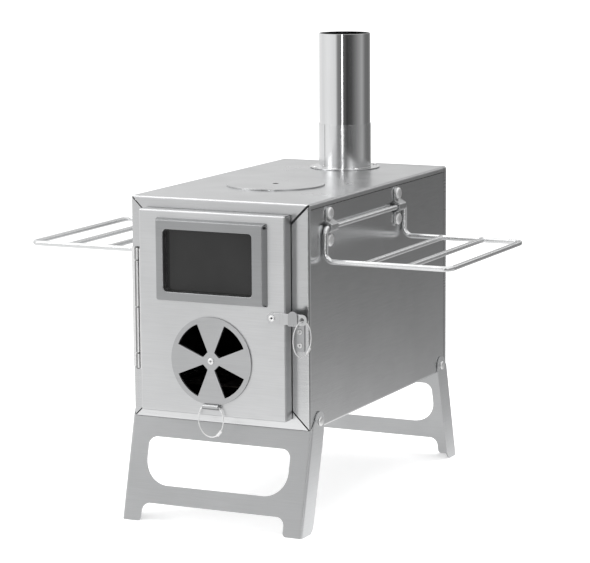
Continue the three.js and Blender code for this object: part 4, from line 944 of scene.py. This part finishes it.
arm_line = [*arc((latch_hole.x, latch_hole.z), ARM_WIDTH / 2, -90, 90, 7.5),
            *arc((latch_pivot.x, latch_pivot.z), ARM_WIDTH / 2, 90, 270, 7.5)]
arm = without(prism(arm_line, "y", latch_low.y, latch_high.y), peg("y", latch_hole, ARM_HOLE),
              peg("y", (latch_pivot.x, latch_low.y, latch_pivot.z), PIVOT_HOLE, 24))
latch_steel = steel("latch_steel", LATCH_GREY, 0.28, grain=(1200, 30, 30))
piece("latch_lever", arm, latch_steel, "latch", "door_sheet", "latch_arm", edge=0.3)
grip = door_low.y - latch_low.y + DOOR_SHEET + 0.2
latch_pin = tubular_rivet((latch_pivot.x, latch_low.y - 0.1, latch_pivot.z), grip, *DOOR_EYELET)
piece("latch_eyelet", latch_pin, rivet_steel, "door", "rivet_steel", "latch_rivet")

keeper_low, keeper_high = span("latch_keeper")
keeper_middle = (keeper_low + keeper_high) / 2
plate_y = keeper_high.y - KEEPER_SHEET / 2
tongue_y = keeper_low.y + KEEPER_SHEET / 2
ledge_z = latch_pivot.z - ARM_WIDTH / 2 - 0.3 - KEEPER_SHEET / 2
keeper_line = rounded([(plate_y, keeper_low.z), (plate_y, ledge_z, KEEPER_BEND),
                       (tongue_y, ledge_z, KEEPER_BEND), (tongue_y, keeper_high.z)], 15, closed=False)
keeper_half = (keeper_high.x - keeper_low.x) / 2
strap = prism(bent_strip(keeper_line, KEEPER_SHEET), "x", keeper_low.x, keeper_high.x)
shape_front = [(keeper_low.x, keeper_low.z), (keeper_high.x, keeper_low.z),
               *arc((keeper_middle.x, keeper_high.z - keeper_half), keeper_half, 0, 180, 7.5)]
strap = carve(strap, prism(shape_front, "y", -60, 5), "INTERSECT")
# Painted light: the keeper's rivets get a paler, duller copy of the rivet steel, so that they look lit under
# the shade of the arm and tongue.
eyelet_steel_painted_light = steel("eyelet_steel_painted_light", EYELET_PAINTED_LIGHT_GREY, 0.6, grain=(300, 300, 300), streak=0.03)
keeper_rivets = [middle_of(f"keeper_rivet_{k}") for k in (1, 2)]
strap = without(strap, *[peg("y", (place.x, plate_y, place.z), KEEPER_HOLE, 24) for place in keeper_rivets])
keeper_steel = steel("keeper_steel", KEEPER_GREY, 0.28, grain=(1200, 30, 30))
piece("keeper_strap", strap, keeper_steel, "firebox", "body_sheet", "latch_keeper", edge=0.2)
for k, place in enumerate(keeper_rivets, 1):
    seat = (place.x, plate_y - KEEPER_SHEET / 2 - 0.1, place.z)
    pin = tubular_rivet(seat, KEEPER_SHEET + SHEET + 0.3, *KEEPER_EYELET)
    piece(f"keeper_eyelet_{k}", pin, eyelet_steel_painted_light, "firebox", "rivet_steel", f"keeper_rivet_{k}")

# ---------------------------------------------------------------- hinge
# A long butt hinge: two leaves whose knuckles are rolled round one headed pin. One leaf lies on the front
# frame, the other on the turned edge of the door.
HINGE_SHEET = 1.0
BARREL = 4.8
PIN = 2.4
KNUCKLES = (16.4, 51, 51.4, 13.7)    # from the bottom, the door's first
KNUCKLE_GAP = 1.3
ROLL = 300
LEAF_BEND = 1.2
# Painted light on the hinge leaves, by the direction a face looks: a bright highlight where the knuckles
# face the camera, a thin bright line where they face straight forward, and painted shade on their other
# sides.
KNUCKLE_PAINTED_LIGHT = (
    (-180, 0.12), (-95, 0.12), (-92, 0.75), (-88, 0.75), (-84, 0.12), (-76, 0.15), (-69, 1.0), (-30, 1.0),
    (-18, 0.15), (180, 0.15),
)
HINGE_GREY = (0.9, 0.9, 0.9, 1)
PIN_PAINTED_SHADE_GREY = (0.25, 0.25, 0.25, 1)

pin_low, pin_high = span("hinge_pin")
pin_x, pin_y = (pin_low.x + pin_high.x) / 2, (pin_low.y + pin_high.y) / 2
hinge_low, hinge_high = (corner.z for corner in span("hinge_body_leaf"))
wrap = (BARREL - HINGE_SHEET) / 2
frame_leaf_y = span("hinge_body_leaf")[1].y - HINGE_SHEET / 2
frame_leaf_x = span("hinge_body_leaf")[0].x
door_leaf_x = span("hinge_door_leaf")[1].x - HINGE_SHEET / 2
door_leaf_y = span("hinge_door_leaf")[0].y
frame_line = [(frame_leaf_x, frame_leaf_y), (pin_x - wrap, frame_leaf_y, LEAF_BEND), (pin_x - wrap, pin_y)]
door_line = [(door_leaf_x, door_leaf_y), (door_leaf_x, pin_y + wrap, LEAF_BEND), (pin_x, pin_y + wrap)]
leaf_lines = {
    "frame": rounded(frame_line, 15, closed=False) + arc((pin_x, pin_y), wrap, 180, 180 + ROLL)[1:],
    "door": rounded(door_line, 15, closed=False) + arc((pin_x, pin_y), wrap, 90, 90 + ROLL)[1:],
}
hinge_steel = steel("hinge_steel", HINGE_GREY, 0.35, grain=(40, 40, 900))
# Painted highlight and shade: the leaves' colour is multiplied by the knuckle ramp above.
tree = hinge_steel.node_tree
polish = tree.nodes["Principled BSDF"].inputs
normal = new_node(tree, "NewGeometry").outputs["Normal"]
painted_knuckle_light = new_node(tree, "Mix", {"Factor": 1, 6: polish["Base Color"].links[0].from_socket,
                              7: studio_ramp(tree, normal, KNUCKLE_PAINTED_LIGHT)},
                data_type="RGBA", blend_type="MULTIPLY")
set_inputs(tree.nodes["Principled BSDF"], {"Metallic": 0.4, "Base Color": painted_knuckle_light.outputs[2]})
# Painted shade: the pin is painted much darker than its steel, so that the gaps between the knuckles read as
# shadow.
pin_steel_painted_shade = steel("pin_steel_painted_shade", PIN_PAINTED_SHADE_GREY, 0.35, grain=(300, 300, 300))
joints_z = [hinge_low + sum(KNUCKLES[:k]) for k in range(len(KNUCKLES) + 1)]
for owner, (leaf, node, body, slot) in enumerate((("door", "hinge_door_leaf", "door", "door_sheet"),
                                                  ("frame", "hinge_body_leaf", "firebox", "body_sheet"))):
    rolled = prism(bent_strip(leaf_lines[leaf], HINGE_SHEET), "z", hinge_low, hinge_high)
    room = BARREL / 2 + 0.4
    for k, (start, end) in enumerate(zip(joints_z, joints_z[1:])):
        if k % 2 != owner:
            rolled = carve(rolled, box((pin_x - room, pin_y - room, start - KNUCKLE_GAP / 2),
                                       (pin_x + room, pin_y + room, end + KNUCKLE_GAP / 2)))
    piece(f"{leaf}_hinge_leaf", rolled, hinge_steel, body, slot, node)
head = (pin_high.x - pin_low.x) / 2
pin_profile = [
    (0, pin_low.z), (head * 0.7, pin_low.z + 0.1), (head, pin_low.z + 0.6), (head, hinge_low - 0.3),
    (PIN / 2, hinge_low - 0.3), (PIN / 2, hinge_high + 0.3), (head, hinge_high + 0.3),
    (head, pin_high.z - 0.6), (head * 0.7, pin_high.z - 0.1), (0, pin_high.z),
]
rod = lathe(pin_profile, "z", (pin_x, pin_y, 0), 32)
piece("hinge_rod", rod, pin_steel_painted_shade, "firebox", "rivet_steel", "hinge_pin")

# ---------------------------------------------------------------- side shelves
# Each shelf is one loop of 6 mm wire, bent down from its pivot rod and butt-welded, with two cross bars
# welded between its arms.
WIRE = 6
ARM_BEND = 9
ROD_BEND = 6
BARS_OUT = (49, 98)
WELD = 0.2
WELD_TAPER = 1.6
WIRE_GREY = cool(0.76)

wire_steel = steel("wire_steel", WIRE_GREY, 0.22, grain=(200, 200, 200), streak=0.03)


def rounded_path(corners, step=9):
    """A closed path through (point, radius) corners in space."""
    path = []
    for i, (here, radius) in enumerate(corners):
        here = Vector(here)
        back = (Vector(corners[i - 1][0]) - here).normalized()
        on = (Vector(corners[(i + 1) % len(corners)][0]) - here).normalized()
        half_angle = back.angle(on) / 2
        centre = here + (back + on).normalized() * radius / math.sin(half_angle)
        spoke = here + back * radius / math.tan(half_angle) - centre
        sweep_angle = math.pi - 2 * half_angle
        count = round(math.degrees(sweep_angle) / step)
        hinge = back.cross(on).normalized()
        path += [centre + Matrix.Rotation(-sweep_angle * k / count, 3, hinge) @ spoke
                 for k in range(count + 1)]
    return path


for side, sign in (("left", -1), ("right", 1)):
    low, high = span(f"shelf_{side}")
    first, last = low.y + WIRE / 2, high.y - WIRE / 2
    bottom, rod_z = low.z + WIRE / 2, high.z - WIRE / 2
    rod_x = sign * (half + 0.4 + WIRE / 2)
    out_x = (high.x if sign > 0 else low.x) - sign * WIRE / 2
    loop = rounded_path([
        ((rod_x, first, rod_z), ROD_BEND), ((rod_x, first, bottom), ARM_BEND),
        ((out_x, first, bottom), ARM_BEND), ((out_x, last, bottom), ARM_BEND),
        ((rod_x, last, bottom), ARM_BEND), ((rod_x, last, rod_z), ROD_BEND),
    ])
    shelf = sweep(loop, WIRE / 2, 32, closed=True)
    reach, thin = WIRE / 2, WIRE / 2 - 0.05
    swollen = reach + WELD
    bar_profile = [
        (0, first), (swollen, first), (swollen, first + reach - 0.3), (thin, first + reach + WELD_TAPER),
        (thin, last - reach - WELD_TAPER), (swollen, last - reach + 0.3), (swollen, last), (0, last),
    ]
    for out in BARS_OUT:
        shelf = carve(shelf, lathe(bar_profile, "y", (sign * (half + out), 0, bottom), 32), "UNION")
    piece(f"wire_shelf_{side}", shelf, wire_steel, f"{side}_shelf", "wire_steel", f"shelf_{side}")

# ---------------------------------------------------------------- shelf brackets
# Straps pressed out into a loop round the pivot rod, each held to the side panel by two domed rivets.
BRACKET_SHEET = 1.2
BRACKET_ROUND = 4
MOUTH = 7.1
CREST_REACH = 3.2
CREST_BEND = 2.6
WALL_BEND = 1.6
DOME_RIVET = (13.6, 3.2, 5, 8, 1.5)    # head and its height, shank, tail and its height
BRACKET_GREY = cool(0.6)

bracket_steel = steel("bracket_steel", BRACKET_GREY, 0.24, grain=(30, 900, 30))
for side, sign in (("left", -1), ("right", 1)):
    for row in ("front", "rear"):
        low, high = span(f"shelf_bracket_{side}_{row}")
        middle = (low + high) / 2
        wall_x = sign * (half + 0.1 + BRACKET_SHEET / 2)
        crest_x = (high.x if sign > 0 else low.x) - sign * BRACKET_SHEET / 2
        upper = [(wall_x, high.z), (wall_x, middle.z + MOUTH, WALL_BEND),
                 (crest_x, middle.z + CREST_REACH, CREST_BEND)]
        lower = [(u, 2 * middle.z - v, *r) for u, v, *r in reversed(upper)]
        line = rounded(upper + lower, 12, closed=False)
        strap = prism(bent_strip(line, BRACKET_SHEET), "y", low.y, high.y)
        face_shape = rectangle(low.y, high.y, low.z, high.z, BRACKET_ROUND)
        strap = carve(strap, prism(face_shape, "x", -half - 40, half + 40), "INTERSECT")
        domes = {end: middle_of(f"bracket_rivet_{side}_{row}_{end}") for end in ("upper", "lower")}
        strap = without(strap, *[peg("x", (wall_x, place.y, place.z), WALL_RIVET_HOLE, 24)
                                 for place in domes.values()])
        piece(f"rod_bracket_{side}_{row}", strap, bracket_steel, "firebox", "body_sheet",
              f"shelf_bracket_{side}_{row}", edge=0.15)
        for end, place in domes.items():
            seat = (sign * (half + 0.2 + BRACKET_SHEET), place.y, place.z)
            dome = round_rivet("x", sign, seat, BRACKET_SHEET + SHEET + 0.3, *DOME_RIVET)
            piece(f"dome_rivet_{side}_{row}_{end}", dome, rivet_steel, "firebox", "rivet_steel",
                  f"bracket_rivet_{side}_{row}_{end}")

# ---------------------------------------------------------------- legs
# Each pair of legs is one folded plate: a front with a window and an arch, and two cheeks that turn on
# rivets low in the side panels. Folded flat, they lie under the box.
LEG_SHEET = 1.5
LEG_FOLD = 2.6
SPLAY = math.radians(14.5)
CHEEK_TOP, CHEEK_FOOT = 30, 27
TOE_ROUND = 13
EAR = 11
CHEEK_NOTCH = 3.5
PLATE_TURN = 60
WINDOW_TOP, WINDOW_TALL = 20, 52.5
LEG_MARGIN = 23
WINDOW_R_TOP, WINDOW_R_LOW = 10, 28
ARCH_TOP, ARCH_ROUND = 93, 9
TOE_CORNER = 4.5
LEG_RIVET = (10, 2.4, 5, 8, 1.5)    # head and its height, shank, tail and its height
UNDER_BOX = 0.4
LEG_GREY = cool(0.45)
CHEEK_PAINTED_LIGHT = 1.55

leg_low, leg_high = span("front_leg")
leg_half = leg_high.x
ground = -leg_low.z
pivot = pivots[0]
ear_u = pivot.y * math.cos(SPLAY) - pivot.z * math.sin(SPLAY)
ear_v = pivot.y * math.sin(SPLAY) + pivot.z * math.cos(SPLAY)
toe = -ground / math.cos(SPLAY)
inner = leg_half - LEG_MARGIN


def folding_leg():
    """One pair of legs: a channel bent from sheet, trimmed to its side view, pierced, and tilted."""
    skin = LEG_SHEET / 2
    side_x = leg_half - skin
    line = rounded([(-side_x, PLATE_TURN), (-side_x, skin, LEG_FOLD), (side_x, skin, LEG_FOLD),
                    (side_x, PLATE_TURN)], 11, closed=False)
    channel = prism(bent_strip(line, LEG_SHEET), "z", toe - 20, ear_v + EAR + 5)
    side = rounded([(-1, 1.5), (-1, toe - 1.3), (CHEEK_FOOT, toe + CHEEK_FOOT * math.tan(SPLAY), TOE_ROUND),
                    (CHEEK_TOP, 4), (CHEEK_TOP - CHEEK_NOTCH, ear_v), (ear_u - EAR, ear_v, 0.5)], 6)
    outline = united(prism(side, "x", -leg_half - 1, leg_half + 1),
                     prism(arc((ear_u, ear_v), EAR, 0, 354, 6), "x", -leg_half - 1, leg_half + 1))
    leg = carve(channel, outline, "INTERSECT")
    low_edge = -WINDOW_TOP - WINDOW_TALL
    window_shape = rounded([(-inner, low_edge, WINDOW_R_LOW), (inner, low_edge, WINDOW_R_LOW),
                            (inner, -WINDOW_TOP, WINDOW_R_TOP), (-inner, -WINDOW_TOP, WINDOW_R_TOP)], 5)
    arch = rounded([
        (-inner - 8, toe - 30), (inner + 8, toe - 30), (inner + 8, toe), (inner, toe, TOE_CORNER),
        (inner, -ARCH_TOP, ARCH_ROUND), (-inner, -ARCH_TOP, ARCH_ROUND), (-inner, toe, TOE_CORNER),
        (-inner - 8, toe),
    ], 9)
    holes = [peg("x", (x, ear_u, ear_v), WALL_RIVET_HOLE, 24) for x in (leg_half, -leg_half)]
    leg = without(leg, prism(window_shape, "y", -5, 10), prism(arch, "y", -5, 10), *holes)
    leg.transform(Matrix.Rotation(-SPLAY, 4, "X"))
    under_box = round_box((-half - UNDER_BOX, -UNDER_BOX, -UNDER_BOX), (half + UNDER_BOX, 90, 90),
                          FOLD + UNDER_BOX)
    floor_cut = box((-200, -90, -ground - 40), (200, 90, -ground))
    return without(leg, under_box, floor_cut)


leg_steel = steel("leg_steel", LEG_GREY, 0.38, ripple=0.3)
# Painted light: the cheeks, whose faces look to either side, are painted paler than the front plate.
paint_light_by_facing(leg_steel, "X", 0.3, 0.9, 1, CHEEK_PAINTED_LIGHT)
paint_light_by_facing(leg_steel, "X", -0.9, -0.3, CHEEK_PAINTED_LIGHT, 1)
piece("front_leg_plate", folding_leg(), leg_steel, "front_leg_pair", "leg_sheet", "front_leg", edge=0.2)
rear_leg = folding_leg()
rear_leg.transform(Matrix.Translation((0, depth, 0)) @ Matrix.Scale(-1, 4, (0, 1, 0)))
rear_leg.flip_normals()
piece("rear_leg_plate", rear_leg, leg_steel, "rear_leg_pair", "leg_sheet", "rear_leg", edge=0.2)
for side, sign in (("left", -1), ("right", 1)):
    for row in ("front", "rear"):
        place = middle_of(f"leg_rivet_{row}_{side}")
        seat = (sign * (leg_half + 0.3), place.y, place.z)
        rivet = round_rivet("x", sign, seat, leg_half - half + SHEET + 0.4, *LEG_RIVET)
        piece(f"leg_pivot_rivet_{row}_{side}", rivet, rivet_steel, "firebox", "rivet_steel",
              f"leg_rivet_{row}_{side}")
